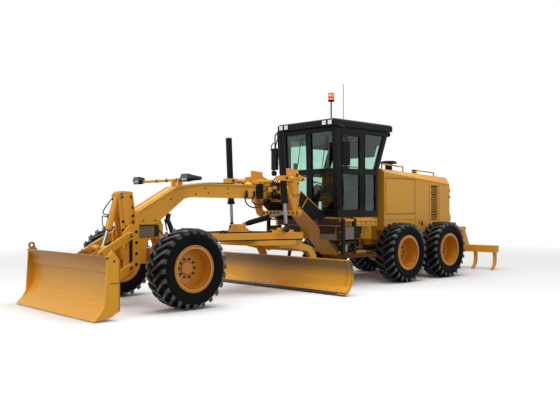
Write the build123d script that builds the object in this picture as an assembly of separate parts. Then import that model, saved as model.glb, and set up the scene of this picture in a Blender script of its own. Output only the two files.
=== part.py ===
from build123d import *
import os
from math import atan2, cos, degrees, hypot, pi, radians, sin

# Motor grader: six-wheel frame hinged behind the cab, circle-mounted mouldboard, front dozer blade and
# rear ripper. Millimetres, +X forward, +Y left, +Z up. Stations along X are measured from the middle of
# the tandem; save() moves every piece so that the origin lies under the middle of the whole machine.

# ---- driving dimensions -------------------------------------------------------------------------
WHEELBASE = 6139          # tandem middle to front axle
TANDEM_SPACING = 1522     # between the two driven wheels of one side
WHEEL_Y = 1040            # middle plane of every wheel
HINGE_X = 1030            # articulation hinge
DOZER_REACH = 1663        # front edge of the dozer blade ahead of the front axle
BLADE_TIP_X = WHEELBASE + DOZER_REACH
RIPPER_REAR_X = -3150     # rear face of the ripper beam
MID_X = (BLADE_TIP_X + RIPPER_REAR_X) / 2
RUN_GAP = 0.3             # radial clearance of pins, rods and spindles
SLIDE_GAP = 0.5           # clearance of flat sliding seats
SIDE_GAP = 5              # clearance beside a moving arm

TYRE_R, TYRE_W = 610, 444
RIM_R, RIM_W, SEAT_R = 356, 400, 318
AXLE_Z = TYRE_R

os.makedirs("parts", exist_ok=True)


# ---- helpers -------------------------------------------------------------------------------------
def save(name, shape):
    solids = shape.solids()
    body = Compound(children=solids) if len(solids) > 1 else solids[0]
    export_step(Pos(-MID_X, 0, 0) * body, f"parts/{name}.step")


def box(x0, x1, y0, y1, z0, z1):
    return Pos((x0 + x1) / 2, (y0 + y1) / 2, (z0 + z1) / 2) * Box(abs(x1 - x0), abs(y1 - y0), abs(z1 - z0))


def prism(axis, start, end, points):
    """A straight-sided solid: points lie in the plane square to axis, given in the order X, Y, Z."""
    place = {"x": lambda a, b: (start, a, b), "y": lambda a, b: (a, start, b), "z": lambda a, b: (a, b, start)}
    way = {"x": (1, 0, 0), "y": (0, 1, 0), "z": (0, 0, 1)}[axis]
    face = make_face(Polyline(*[place[axis](a, b) for a, b in points], close=True).edges())
    return extrude(face, amount=end - start, dir=way)


def rod(p, q, r):
    """A round bar from point p to point q."""
    a, b = Vector(*p), Vector(*q)
    return Plane(origin=a, z_dir=b - a) * Cylinder(r, (b - a).length, align=(Align.CENTER, Align.CENTER, Align.MIN))


def ball(p, r):
    """A sphere whose poles lie along X, clear of the faces it is cut from."""
    return Pos(*p) * Rot(0, 90, 0) * Sphere(r)


def pin_y(x, z, y0, y1, r):
    return rod((x, y0, z), (x, y1, z), r)


def pin_z(x, y, z0, z1, r):
    return rod((x, y, z0), (x, y, z1), r)


def flat_link(axis, start, end, p, q, rp, rq, hole_p=0, hole_q=0):
    """A plate link with round ends about p and q, square to axis, with a hole at either end."""
    (a0, b0), (a1, b1) = p, q
    length = hypot(a1 - a0, b1 - b0)
    turn = degrees(atan2(b1 - b0, a1 - a0))
    plane = {
        "y": Plane(origin=(a0, start, b0), x_dir=(1, 0, 0), z_dir=(0, -1, 0)),
        "z": Plane(origin=(a0, b0, start), x_dir=(1, 0, 0), z_dir=(0, 0, 1)),
        "x": Plane(origin=(start, a0, b0), x_dir=(0, 1, 0), z_dir=(1, 0, 0)),
    }[axis]
    lean = degrees(atan2(rp - rq, length))
    c, s = cos(radians(lean)), sin(radians(lean))
    side = [(rp * s, rp * c), (length + rq * s, rq * c), (length + rq * s, -rq * c), (rp * s, -rp * c)]
    outline = make_face(Polyline(*side, close=True).edges()) + Circle(rp) + Pos(length, 0) * Circle(rq)
    if hole_p:
        outline -= Circle(hole_p)
    if hole_q:
        outline -= Pos(length, 0) * Circle(hole_q)
    way = {"y": (0, 1, 0), "z": (0, 0, 1), "x": (1, 0, 0)}[axis]
    return extrude(plane * (Rot(0, 0, turn) * outline), amount=end - start, dir=way)


def mirrored(shape):
    return mirror(shape, Plane.XZ)


def both_sides(shape):
    return shape + mirrored(shape)


def between(p, q, t):
    return tuple(a + (b - a) * t for a, b in zip(p, q))


def cylinder_barrel(base, eye, start, end, r_out, r_rod, cap=40):
    """Hollow barrel on the line from base to eye, from start to end along it, closed at its base side."""
    length = hypot(*(b - a for a, b in zip(base, eye)))
    at = lambda d: between(base, eye, d / length)
    return rod(at(start), at(end), r_out) - rod(at(start + cap), at(end + 1), r_rod + RUN_GAP)


def cylinder_rod(base, eye, inner, r_rod, eye_shape):
    """Bar from a point inside the barrel to the eye, with the eye fused on."""
    length = hypot(*(b - a for a, b in zip(base, eye)))
    return rod(between(base, eye, inner / length), eye, r_rod) + eye_shape


# ---- wheels --------------------------------------------------------------------------------------
# columns: name, x, side, recess of the disc behind the outer flange, how far the hub stands out of it
WHEELS = [
    ("front_left", WHEELBASE, 1, 210, 43),
    ("front_right", WHEELBASE, -1, 210, 43),
    ("tandem_front_left", TANDEM_SPACING / 2, 1, 260, 40),
    ("tandem_front_right", TANDEM_SPACING / 2, -1, 260, 40),
    ("tandem_rear_left", -TANDEM_SPACING / 2, 1, 260, 40),
    ("tandem_rear_right", -TANDEM_SPACING / 2, -1, 260, 40),
]
SPINDLE_R, HUB_R, DISC_T = 60, 105, 24
HUB_IN = 90               # hub behind the disc
TYRE_SIDES = 20
LUG_COUNT, LUG_DEPTH = 10, 38     # tread bars on each side, and how far they stand out
LUG_HALF, LUG_LEAN, LUG_OVERLAP = 34, 22, 14


def ring_about_y(x, y, side, profile, z=AXLE_Z):
    """Revolve (axial, radial) points about the wheel axis; axial runs outward from the middle plane."""
    points = [(x + r, y + side * a, z) for a, r in profile]
    face = make_face(Polyline(*points, close=True).edges())
    return revolve(face, Axis((x, y, z), (0, 1, 0)), 360)


def ring_of_flats(profile, sides):
    """Solid whose closed (axial, radial) profile is carried round the wheel axis in flat steps."""
    step = 2 * pi / sides
    reach = 1 / cos(step / 2)
    at = lambda k, y, r: (reach * r * cos((k + 0.5) * step), y, reach * r * sin((k + 0.5) * step))
    edges = list(zip(profile, profile[1:] + profile[:1]))
    faces = [make_face(Polyline(at(k, *a), at(k + 1, *a), at(k + 1, *b), at(k, *b), close=True).edges())
             for k in range(sides) for a, b in edges]
    return Solid(Shell(faces))


def make_tyre():
    """Flat-sided carcass with two rows of slanting bars, half a pitch apart, that meet in a chevron."""
    half = TYRE_W / 2
    bead = RIM_W / 2 - 20
    base = TYRE_R - LUG_DEPTH
    flank = [(bead, SEAT_R), (bead, RIM_R + 8), (half, base - 100), (half - 56, base)]
    carcass = ring_of_flats(flank + [(-y, r) for y, r in reversed(flank)], TYRE_SIDES)
    end = (half - LUG_HALF * sin(radians(LUG_LEAN)) - 2) / cos(radians(LUG_LEAN))
    profile = [(-LUG_OVERLAP, base - 20), (-LUG_OVERLAP, TYRE_R), (end - 40, TYRE_R), (end, base - 70)]
    lug = Rot(0, 0, LUG_LEAN) * prism("x", -LUG_HALF, LUG_HALF, profile)
    pitch = 360 / LUG_COUNT
    for i in range(LUG_COUNT):
        carcass += Rot(0, 180 + i * pitch, 0) * lug
        carcass += Rot(0, 180 + (i + 0.5) * pitch, 0) * mirrored(lug)
    return carcass


def rim(x, side, recess, hub_out):
    half = RIM_W / 2
    disc = half - recess
    wall = SEAT_R - 18
    profile = [(-half, RIM_R), (-half, wall), (disc - DISC_T, wall), (disc - DISC_T, HUB_R),
               (disc - DISC_T - HUB_IN, HUB_R), (disc - DISC_T - HUB_IN, SPINDLE_R + RUN_GAP),
               (disc, SPINDLE_R + RUN_GAP), (disc, 0), (disc + hub_out, 0), (disc + hub_out, HUB_R - 25),
               (disc + hub_out - 15, HUB_R), (disc, HUB_R), (disc, wall), (half, wall), (half, RIM_R),
               (half - 20, RIM_R), (half - 20, SEAT_R), (-half + 20, SEAT_R), (-half + 20, RIM_R)]
    return ring_about_y(x, side * WHEEL_Y, side, profile)


def hub_span(recess):
    """Distances from the machine's middle to the hub's inner face and to the blind end of its bore."""
    disc = WHEEL_Y + RIM_W / 2 - recess
    return disc - DISC_T - HUB_IN, disc


TYRE = make_tyre()
for name, x, side, recess, hub_out in WHEELS:
    save(f"tyre_{name}", Pos(x, side * WHEEL_Y, AXLE_Z) * TYRE)
    save(f"rim_{name}", rim(x, side, recess, hub_out))

# ---- rear frame, tandem, bonnet ------------------------------------------------------------------
CASE_Y0, CASE_Y1, CASE_R = 600, 800, 225
HOOD_W, HOOD_TOP_W = 640, 540         # half widths of the bonnet at its shoulder and at its top
RAIL_Y0, RAIL_Y1, RAIL_Z0, RAIL_Z1 = 300, 400, 850, 1050
FRAME_FRONT_X, FRAME_REAR_X = 800, -1900
BUMPER_T = 80
LUG_T = 40
HITCH_PIN_R, HITCH_EYE_R = 50, 110
HITCH_LEVELS = (600, 980)      # underside of the two rear hitch lugs

RIPPER_PIN_X, RIPPER_ARM = -2080, 770
RIPPER_LOW_Z, RIPPER_HIGH_Z = 470, 1010
RIPPER_LINK_Y0, RIPPER_LINK_Y1 = 300, 350
RIPPER_CYL_TOP = (-2050, 0, 1120)
RIPPER_CYL_R, RIPPER_ROD_R = 50, 26

ARTIC_REAR = (560, 440, 700)   # pins of the left articulation cylinder
ARTIC_FRONT = (1750, 400, 700)
ARTIC_R, ARTIC_ROD_R = 58, 30
ARTIC_EYE_T = 2 * ARTIC_R + 4


def clevis_y(x, z, y, gap, reach_x, reach_z, t=25, r=55):
    """Two cheeks square to Y about a pin at (x, z), run back to (reach_x, reach_z)."""
    cheeks = [flat_link("y", y + s * gap / 2 - (t if s < 0 else 0), y + s * gap / 2 + (t if s > 0 else 0),
                        (x, z), (reach_x, reach_z), r, r) for s in (1, -1)]
    return cheeks[0] + cheeks[1]


def make_tandem():
    case = box(-TANDEM_SPACING / 2, TANDEM_SPACING / 2, CASE_Y0, CASE_Y1, AXLE_Z - CASE_R, AXLE_Z + CASE_R)
    hub_in, bore_end = hub_span(260)
    for x in (-TANDEM_SPACING / 2, TANDEM_SPACING / 2):
        case += pin_y(x, AXLE_Z, CASE_Y0, CASE_Y1, CASE_R)
        case += pin_y(x, AXLE_Z, CASE_Y1, hub_in - SIDE_GAP, HUB_R)
        case += pin_y(x, AXLE_Z, CASE_Y1, bore_end - SIDE_GAP, SPINDLE_R)
    axle = pin_y(0, AXLE_Z, -CASE_Y0, CASE_Y0, 150) + Pos(0, 0, AXLE_Z) * Sphere(250)
    seats = both_sides(box(-160, 160, RAIL_Y0, RAIL_Y1, AXLE_Z, RAIL_Z0))
    return both_sides(case) + axle + seats


def make_rear_frame():
    shape = both_sides(box(FRAME_REAR_X, FRAME_FRONT_X, RAIL_Y0, RAIL_Y1, RAIL_Z0, RAIL_Z1))
    for x in (-1500, -600, 500):
        shape += box(x - 60, x + 60, -HOOD_W, HOOD_W, RAIL_Z0 + 80, RAIL_Z1)
    web = prism("y", -240, 240, [(560, HITCH_LEVELS[0] - 20), (880, HITCH_LEVELS[0] - 20),
                                (880, RAIL_Z1), (300, RAIL_Z1), (300, RAIL_Z0)])
    shape += web + box(560, 760, -310, 310, 640, RAIL_Z1)
    for z in HITCH_LEVELS:
        shape += flat_link("z", z, z + LUG_T, (860, 0), (HINGE_X, 0), 200, HITCH_EYE_R, 0, HITCH_PIN_R + RUN_GAP)
    shape += box(FRAME_REAR_X - BUMPER_T, FRAME_REAR_X, -640, 640, 380, 1180)
    shape += both_sides(prism("y", RAIL_Y0, RAIL_Y1, [(-1500, RAIL_Z0), (FRAME_REAR_X, 420), (FRAME_REAR_X, RAIL_Z0)]))
    for z in (RIPPER_LOW_Z, RIPPER_HIGH_Z):
        y = (RIPPER_LINK_Y0 + RIPPER_LINK_Y1) / 2
        gap = RIPPER_LINK_Y1 - RIPPER_LINK_Y0 + 2 * SIDE_GAP
        ears = clevis_y(RIPPER_PIN_X, z, y, gap, FRAME_REAR_X - 20, z)
        shape += both_sides(ears + pin_y(RIPPER_PIN_X, z, y - gap / 2 - 30, y + gap / 2 + 30, 25))
    x, y, z = RIPPER_CYL_TOP
    shape += clevis_y(x, z, y, 2 * (RIPPER_CYL_R + SIDE_GAP), FRAME_REAR_X - 30, z)
    shape += pin_y(x, z, -RIPPER_CYL_R - 25, RIPPER_CYL_R + 25, 25)
    x, y, z = ARTIC_REAR
    for z0 in (z - ARTIC_EYE_T / 2 - 3 - 25, z + ARTIC_EYE_T / 2 + 3):
        shape += both_sides(flat_link("z", z0, z0 + 25, (x, y), (x + 60, 290), 60, 70))
    shape += both_sides(pin_z(x, y, z - ARTIC_EYE_T / 2 - 20, z + ARTIC_EYE_T / 2 + 20, 30))
    return shape


# Bonnet section: sides stand upright to the shoulder, then break to a narrower sloping top.
HOOD_FRONT, HOOD_REAR = 800, -1690
HOOD_Z0, HOOD_T = RAIL_Z1, 30
HOOD_SHOULDER = (2285, 2080)   # at the front, at the rear
HOOD_TOP = (2355, 2237)
HOOD_DOOR = (-300, 746, 1395, 2150)   # x0, x1, z0, z1 of the side door
HOOD_DOOR_GAP = 6
HOOD_PIVOT_Y = HOOD_W + 10
HOOD_KNUCKLE, HINGE_LEAF = 80, 30      # heights of a door's knuckle and of the fixed leaf beside it
HOOD_HINGES = (HOOD_DOOR[2] + 120, HOOD_DOOR[3] - 200)
SIDE_VENT = (-1187, -935, 1240, 2040)  # x0, x1, z0, z1 of the louvred panel
REAR_VENT = (430, 1690, 2010)          # half width, z0, z1 of the grille
SLAT_PITCH, SLAT_T, SLAT_RISE = 57, 8, 26
AIR_INTAKE = (-196, 0, 2590)           # top of the pre-cleaner's cap
COWL = [(HOOD_REAR + 5, 1640), (HOOD_REAR - 20, 1640), (-1930, 1330), (-1930, 1210), (HOOD_REAR + 5, 1210)]


def hood_outer(inset):
    x_front, x_rear = HOOD_FRONT - inset, HOOD_REAR + inset
    sections = []
    for x, shoulder, top in ((x_front, HOOD_SHOULDER[0], HOOD_TOP[0]), (x_rear, HOOD_SHOULDER[1], HOOD_TOP[1])):
        w, tw = HOOD_W - inset, HOOD_TOP_W - inset
        sections.append([(x, w, HOOD_Z0), (x, w, shoulder - inset), (x, tw, top - inset),
                         (x, -tw, top - inset), (x, -w, shoulder - inset), (x, -w, HOOD_Z0)])
    return loft([make_face(Polyline(*s, close=True).edges()) for s in sections], ruled=True)


def hood_top(x):
    return HOOD_TOP[1] + (HOOD_TOP[0] - HOOD_TOP[1]) * (x - HOOD_REAR) / (HOOD_FRONT - HOOD_REAR)


def slats(axis, start, end, face, depth, z0, z1):
    """Slanting louvre slats across an opening, from its outer face inwards by depth."""
    near, far = face + 0.15 * depth, face + 0.85 * depth
    count = int((z1 - z0 - SLAT_RISE) / SLAT_PITCH)
    rows = [prism(axis, start, end, [(near, z), (near, z + SLAT_T), (far, z + SLAT_T + SLAT_RISE), (far, z + SLAT_RISE)])
            for z in [z0 + (i + 0.5) * SLAT_PITCH for i in range(count)]]
    return rows


def with_vents(shell):
    x0, x1, z0, z1 = SIDE_VENT
    shell -= box(x0, x1, -HOOD_W - 10, HOOD_W + 10, z0, z1)
    side = slats("x", x0 - 6, x1 + 6, HOOD_W, -HOOD_T, z0, z1)
    half, z0, z1 = REAR_VENT
    shell -= box(HOOD_REAR - 10, HOOD_REAR + HOOD_T + 10, -half, half, z0, z1)
    rear = slats("y", -half - 6, half + 6, HOOD_REAR, HOOD_T, z0, z1)
    return shell.fuse(*side, *[mirrored(slat) for slat in side], *rear)


def make_hood():
    shell = hood_outer(0) - hood_outer(HOOD_T)
    x0, x1, z0, z1 = HOOD_DOOR
    shell -= box(x0, x1, -HOOD_W - 10, HOOD_W + 10, z0, z1)
    rail_top = 2460
    for x_a, x_b, drop in ((700, -50, 0), (-560, -1240, 90)):
        for s in (1, -1):
            z = rail_top - drop
            foot = z - 170
            shell += rod((x_a, s * 500, foot), (x_a, s * 500, z), 16)
            shell += rod((x_b, s * 500, foot - 30), (x_b, s * 500, z - 30), 16)
            shell += rod((x_a, s * 500, z), (x_b, s * 500, z - 30), 16)
    shell = with_vents(shell)
    seam = [(760, 2195), (-300, 2178), (-1520, 2078), (-1520, 2060), (-300, 2160), (760, 2177)]
    shell -= both_sides(prism("y", HOOD_W - 10, HOOD_W + 10, seam))
    x, y, z = AIR_INTAKE
    shell += pin_z(x, y, hood_top(x) - HOOD_T / 2, z - 60, 75) + pin_z(x, y, z - 60, z - 25, 180)
    shell += Pos(x, y, z - 12.5) * Cone(180, 120, 25)
    shell += pin_z(-640, 380, hood_top(-640) - HOOD_T / 2, 2370, 45)
    shell += prism("y", -520, 520, COWL)
    shell += both_sides(box(HOOD_REAR - 90, HOOD_REAR + 10, 430, 540, 1890, 1975))
    for z in HOOD_HINGES:
        for z_a in (z - RUN_GAP - HINGE_LEAF, z + HOOD_KNUCKLE + RUN_GAP):
            leaf = pin_z(x1 - 2, HOOD_PIVOT_Y, z_a, z_a + HINGE_LEAF, 9)
            leaf += box(x1, x1 + 50, HOOD_W, HOOD_PIVOT_Y, z_a, z_a + HINGE_LEAF)
            shell += both_sides(leaf)
    return shell


def make_hood_door(side):
    x0, x1, z0, z1 = HOOD_DOOR
    g = HOOD_DOOR_GAP
    outer, inner = HOOD_W, HOOD_W - HOOD_T
    panel = box(x0 + g, x1 - g, side * inner, side * outer, z0 + g, z1 - g)
    for z in HOOD_HINGES:
        panel += pin_z(x1 - 2, side * HOOD_PIVOT_Y, z, z + HOOD_KNUCKLE, 9)
        panel += box(x1 - 60, x1 - 8, side * outer, side * HOOD_PIVOT_Y, z, z + HOOD_KNUCKLE)
    return panel


save("rear_frame", make_rear_frame())
save("tandem_axle", make_tandem())
save("hood", make_hood())
save("hood_door_left", make_hood_door(1))
save("hood_door_right", make_hood_door(-1))
save("engine_block", box(-1350, 300, -360, 360, RAIL_Z1, 1950))

# ---- front frame ---------------------------------------------------------------------------------
BEAM_W = 152              # half width of the gooseneck
BELLY_W = 260             # half width of the frame under the cab
BELLY_REAR_X = 1160
FLOOR_Z = 1330
BALL = (WHEELBASE - 249, 0, 760)     # drawbar ball on the front bolster
BALL_R = 65
BOLSTER_X0, BOLSTER_X1, BOLSTER_W = WHEELBASE - 179, WHEELBASE + 311, 130
BEAM_TOP = [(BOLSTER_X1, 1468), (WHEELBASE - 427, 1877), (WHEELBASE - 953, 1951), (2990, 1946)]
BEAM_BOTTOM = [(2990, 1690), (WHEELBASE - 759, 1712), (WHEELBASE - 579, 1680), (WHEELBASE - 17, 1260), (BOLSTER_X1, 1260)]
FLANGE_X, FLANGE_T, FLANGE_LIP = 3600, 26, 14     # the beam's top and bottom plates, ahead of the saddle
LAMP_X, LAMP_Z = WHEELBASE - 539, 2005
LAMP_YS = (-1120, 350)
ARCH_HALF, ARCH_TOP = 135, 1040
AXLE_PIN_Z, AXLE_PIN_R = 760, 60
LADDER_Z0 = 645           # foot of the ladders, above the moldboard's sweep


def make_platforms():
    """Platforms under the cab's doors and the ladders hung from them."""
    side = box(1432, 2434, BELLY_W, 950, FLOOR_Z - 160, FLOOR_Z)
    side += box(1300, 2380, BELLY_W, 700, 900, FLOOR_Z - 160)
    for x in (2240, 2560):
        side += box(x - 25, x + 25, 1010, 1060, LADDER_Z0, FLOOR_Z - 20)
    side += box(2240, 2560, 940, 1060, FLOOR_Z - 60, FLOOR_Z - 20)
    for z in (LADDER_Z0 + 10, LADDER_Z0 + 210, LADDER_Z0 + 410):
        side += box(2240, 2560, 960, 1060, z, z + 25)
    return both_sides(side)


def make_flanges():
    """Top and bottom plates of the welded beam, standing a little proud of its sides."""
    half, t = BEAM_W + FLANGE_LIP, FLANGE_T
    top = BEAM_TOP[:3] + [(FLANGE_X, BEAM_TOP[3][1])]
    low = [(FLANGE_X, BEAM_BOTTOM[0][1] + 8)] + BEAM_BOTTOM[1:4]
    plates = prism("y", -half, half, top + [(x, z - t) for x, z in reversed(top)])
    return plates + prism("y", -half, half, low + [(x + 0.3 * t, z + t) for x, z in reversed(low)])


def make_lamp(y):
    """A lamp housing that tapers back from its six-sided lens."""
    outline = [(-115, 0), (-70, 62), (70, 62), (115, 0), (70, -62), (-70, -62)]
    faces = [make_face(Polyline(*[(x, y + f * a, LAMP_Z + 12 + f * b) for a, b in outline], close=True).edges())
             for x, f in ((LAMP_X - 40, 0.5), (LAMP_X + 60, 1.0), (LAMP_X + 95, 1.0))]
    return loft(faces, ruled=True)


def make_front_frame():
    beam = prism("y", -BEAM_W, BEAM_W, BEAM_TOP + BEAM_BOTTOM)
    belly = prism("y", -BELLY_W, BELLY_W, [(3020, 1690), (3020, 1800), (2560, FLOOR_Z), (BELLY_REAR_X, FLOOR_Z),
                                          (BELLY_REAR_X, 560), (1800, 560), (2700, 1420), (2960, 1690)])
    bolster = box(BOLSTER_X0, BOLSTER_X1, -BOLSTER_W, BOLSTER_W, 640, 1262)
    arch = box(WHEELBASE - ARCH_HALF, WHEELBASE + ARCH_HALF, -200, 200, 600, ARCH_TOP - ARCH_HALF)
    arch += pin_y(WHEELBASE, ARCH_TOP - ARCH_HALF, -200, 200, ARCH_HALF)
    neck = [(BOLSTER_X0, 1250), (BEAM_BOTTOM[3][0], 1250), (BEAM_BOTTOM[3][0], 1300), (BOLSTER_X0 + 50, 1340)]
    neck = prism("y", -BOLSTER_W, BOLSTER_W, neck)
    shape = beam + make_flanges() + belly + (bolster - arch) + neck + make_platforms()
    shape += rod((BOLSTER_X0 + 10, 0, BALL[2]), (BALL[0] + 12, 0, BALL[2]), 95)
    shape -= ball(BALL, BALL_R + RUN_GAP)
    shape -= rod((BOLSTER_X0 + 20, 0, AXLE_PIN_Z), (BOLSTER_X1 + 1, 0, AXLE_PIN_Z), AXLE_PIN_R + RUN_GAP)
    for x in (1320, 2240):
        shape += both_sides(pin_z(x, 190, FLOOR_Z - 10, FLOOR_Z + 15, 60))
    # hitch clevis and its pins
    for z in HITCH_LEVELS:
        for z0 in (z - LUG_T - SLIDE_GAP, z + LUG_T + SLIDE_GAP):
            shape += flat_link("z", z0, z0 + LUG_T, (HINGE_X, 0), (BELLY_REAR_X + 40, 0), HITCH_EYE_R, 150)
        shape += pin_z(HINGE_X, 0, z - LUG_T, z + 2 * LUG_T, HITCH_PIN_R)
    # ears of the articulation cylinders
    x, y, z = ARTIC_FRONT
    for z0 in (z - ARTIC_EYE_T / 2 - SIDE_GAP - 25, z + ARTIC_EYE_T / 2 + SIDE_GAP):
        shape += both_sides(flat_link("z", z0, z0 + 25, (x, y), (x, BELLY_W - 10), 80, 100))
    # lamp bar across the gooseneck, two lamps and the pin they turn on
    shape += rod((LAMP_X, LAMP_YS[0] - 60, LAMP_Z - 10), (LAMP_X, LAMP_YS[1] + 40, LAMP_Z - 10), 24)
    shape += both_sides(box(LAMP_X - 40, LAMP_X + 40, 60, 110, 1880, LAMP_Z + 5))
    for y in LAMP_YS:
        shape += make_lamp(y)
    return shape


save("front_frame", make_front_frame())

# ---- cab, doors, platforms -----------------------------------------------------------------------
CAB_W = 740
CAB_WALL = 50
CAB_FLOOR = FLOOR_Z + 15
CAB_SIDE = [(2365, CAB_FLOOR), (2430, 3110), (777, 3110), (1141, 2230), (1141, CAB_FLOOR)]
ROOF = (710, 2520, 790, 3110, 3248)   # x0, x1, half width, z0, z1
DOOR = (1640, 2290, 1400, 3010)       # x0, x1, z0, z1 of the door opening
DOOR_GAP = 6
DOOR_PIVOT_Y = CAB_W + 6
DOOR_KNUCKLE = 110
DOOR_HINGES = (DOOR[2] + 150, DOOR[3] - 260)


def cab_inside():
    inner = [(2365 - CAB_WALL, CAB_FLOOR + CAB_WALL), (2430 - CAB_WALL, 3060), (852, 3060),
             (1195, 2230), (1195, CAB_FLOOR + CAB_WALL)]
    return prism("y", -(CAB_W - CAB_WALL), CAB_W - CAB_WALL, inner)


def make_cab():
    shell = prism("y", -CAB_W, CAB_W, CAB_SIDE) - cab_inside()
    dx0, dx1, dz0, dz1 = DOOR
    through = CAB_W + 20
    shell -= box(dx0, dx1, -through, through, dz0, dz1)
    shell -= prism("y", -through, through, [(1560, 2290), (1560, 3010), (930, 3010), (1215, 2290)])
    shell -= box(1215, 1560, -through, through, 1460, 2200)
    for y0, y1 in ((-650, -60), (60, 650)):
        shell -= box(2250, 2500, y0, y1, 2290, 3020)
        shell -= box(2250, 2500, y0, y1, 1480, 2200)
    shell -= box(700, 1300, -620, 620, 2330, 3000) - box(1195, 1300, -620, 620, 2330, 3000)
    for z in DOOR_HINGES:
        for z_a in (z - RUN_GAP - HINGE_LEAF, z + DOOR_KNUCKLE + RUN_GAP):
            shell += both_sides(box(dx0 - 40, dx0 + 8, CAB_W, CAB_W + 10, z_a, z_a + HINGE_LEAF))
    return shell


def make_cab_roof():
    """Roof panel with the beacon on its pole, the radio mast, and the mirrors on their arms."""
    x0, x1, w, z0, z1 = ROOF
    shape = box(x0, x1, -w, w, z0, z1)
    shape = chamfer(shape.edges().group_by(Axis.Z)[-1], 30)
    shape += pin_z(1740, 0, z1 - 10, 3760, 14) + pin_z(1740, 0, 3760, 3906, 60)
    shape += pin_z(900, -400, z1 - 10, 4250, 6)
    for s in (1, -1):
        shape += rod((2440, s * 760, 3140), (2440, s * 960, 3060), 14)
        shape += rod((2440, s * 960, 3060), (2420, s * 980, 2760), 14)
        shape += box(2400, 2440, s * 900, s * 1080, 2330, 2780)
    return shape


def make_door(side):
    x0, x1, z0, z1 = DOOR
    g = DOOR_GAP
    frame = box(x0 + g, x1 - g, side * (CAB_W - CAB_WALL), side * CAB_W, z0 + g, z1 - g)
    frame -= box(x0 + 70, x1 - 60, side * (CAB_W - 80), side * (CAB_W + 20), 2290, z1 - 60)
    frame -= box(x0 + 70, x1 - 60, side * (CAB_W - 80), side * (CAB_W + 20), z0 + 80, 2190)
    for z in DOOR_HINGES:
        frame += pin_z(x0 + 10, side * DOOR_PIVOT_Y, z, z + DOOR_KNUCKLE, 9)
        frame += box(x0 + 10, x0 + 60, side * CAB_W, side * (CAB_W + 8), z, z + DOOR_KNUCKLE)
    return frame


def make_operator_station():
    shape = box(1560, 1900, -170, 170, CAB_FLOOR + CAB_WALL, 1700)
    shape += box(1480, 1980, -260, 260, 1700, 1850)
    shape += prism("y", -250, 250, [(1480, 1850), (1620, 1850), (1520, 2560), (1400, 2560)])
    shape += both_sides(box(1640, 2080, 270, 380, 1640, 1950) + pin_z(2020, 325, 1940, 2100, 22))
    shape += both_sides(box(1640, 1700, 200, 300, 1640, 1720))
    shape += box(2150, 2300, -160, 160, CAB_FLOOR + CAB_WALL, 2000)
    return shape + box(1600, 2200, -160, 160, CAB_FLOOR + CAB_WALL, CAB_FLOOR + CAB_WALL + 15)


save("cab", make_cab())
save("cab_roof", make_cab_roof())
save("door_left", make_door(1))
save("door_right", make_door(-1))
save("operator_station", make_operator_station())

# ---- front axle, lean and steering ---------------------------------------------------------------
LEAN_PIN = (690, 560)     # y, z of the lean pin at the axle's end
KINGPIN_Y = 815
KINGPIN_R = 40
FORK_HALF = 90            # half width of the axle's end along X
FORK_T = 30
YOKE_Z0, YOKE_Z1 = 480, 742


def make_front_axle():
    profile = [(-640, 500), (-260, 640), (260, 640), (640, 500), (640, 625), (270, 880), (-270, 880), (-640, 625)]
    beam = prism("x", WHEELBASE - FORK_HALF, WHEELBASE + FORK_HALF, profile)
    y, z = LEAN_PIN
    for s in (1, -1):
        beam += rod((WHEELBASE - FORK_HALF, s * y, z), (WHEELBASE + FORK_HALF, s * y, z), 62)
        beam += box(WHEELBASE - FORK_HALF, WHEELBASE + FORK_HALF, s * 600, s * y, z - 60, z + 60)
        beam += rod((WHEELBASE - FORK_HALF - 40, s * y, z), (WHEELBASE + FORK_HALF + 40, s * y, z), 30)
    beam += rod((BOLSTER_X0 + 20, 0, AXLE_PIN_Z), (BOLSTER_X1 - 20, 0, AXLE_PIN_Z), AXLE_PIN_R)
    return beam


def make_lean_carrier(side):
    y, z = LEAN_PIN
    x_in = FORK_HALF + SIDE_GAP
    shape = None
    for s in (1, -1):
        x0, x1 = WHEELBASE + s * x_in, WHEELBASE + s * (x_in + FORK_T)
        cheek = prism("x", min(x0, x1), max(x0, x1),
                      [(side * (y - 62), z - 62), (side * (y + 72), YOKE_Z0 - 40), (side * (y + 72), YOKE_Z1 + 40),
                       (side * (y - 20), YOKE_Z1 + 40), (side * (y - 62), z + 62)])
        shape = cheek if shape is None else shape + cheek
    span = x_in + FORK_T
    y_web = y + 72
    shape += box(WHEELBASE - span, WHEELBASE + span, side * (y_web - 30), side * y_web, YOKE_Z0 - 40, YOKE_Z0 - 5)
    shape += box(WHEELBASE - span, WHEELBASE + span, side * (y_web - 30), side * y_web, YOKE_Z1 + 5, YOKE_Z1 + 40)
    for z0 in (YOKE_Z0 - 40, YOKE_Z1 + 5):
        shape += flat_link("z", z0, z0 + 35, (WHEELBASE, side * KINGPIN_Y), (WHEELBASE, side * y_web), 62, 100)
    shape -= pin_z(WHEELBASE, side * KINGPIN_Y, YOKE_Z0 - 60, YOKE_Z1 + 60, KINGPIN_R + RUN_GAP)
    shape -= rod((WHEELBASE - span - 5, side * y, z), (WHEELBASE + span + 5, side * y, z), 30 + RUN_GAP)
    return shape


def make_knuckle(side):
    hub_in, bore_end = hub_span(210)
    y = side * KINGPIN_Y
    shape = pin_z(WHEELBASE, y, YOKE_Z0 - 45, YOKE_Z1 + 45, KINGPIN_R)
    shape += pin_z(WHEELBASE, y, YOKE_Z0 + 2, YOKE_Z1 - 2, 48)
    shape += pin_y(WHEELBASE, AXLE_Z, y, side * (hub_in - SIDE_GAP), 85)
    shape += pin_y(WHEELBASE, AXLE_Z, y, side * (bore_end - SIDE_GAP), SPINDLE_R)
    return shape


save("front_axle", make_front_axle())
for name, side in (("left", 1), ("right", -1)):
    save(f"lean_carrier_{name}", make_lean_carrier(side))
    save(f"knuckle_{name}", make_knuckle(side))

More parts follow.
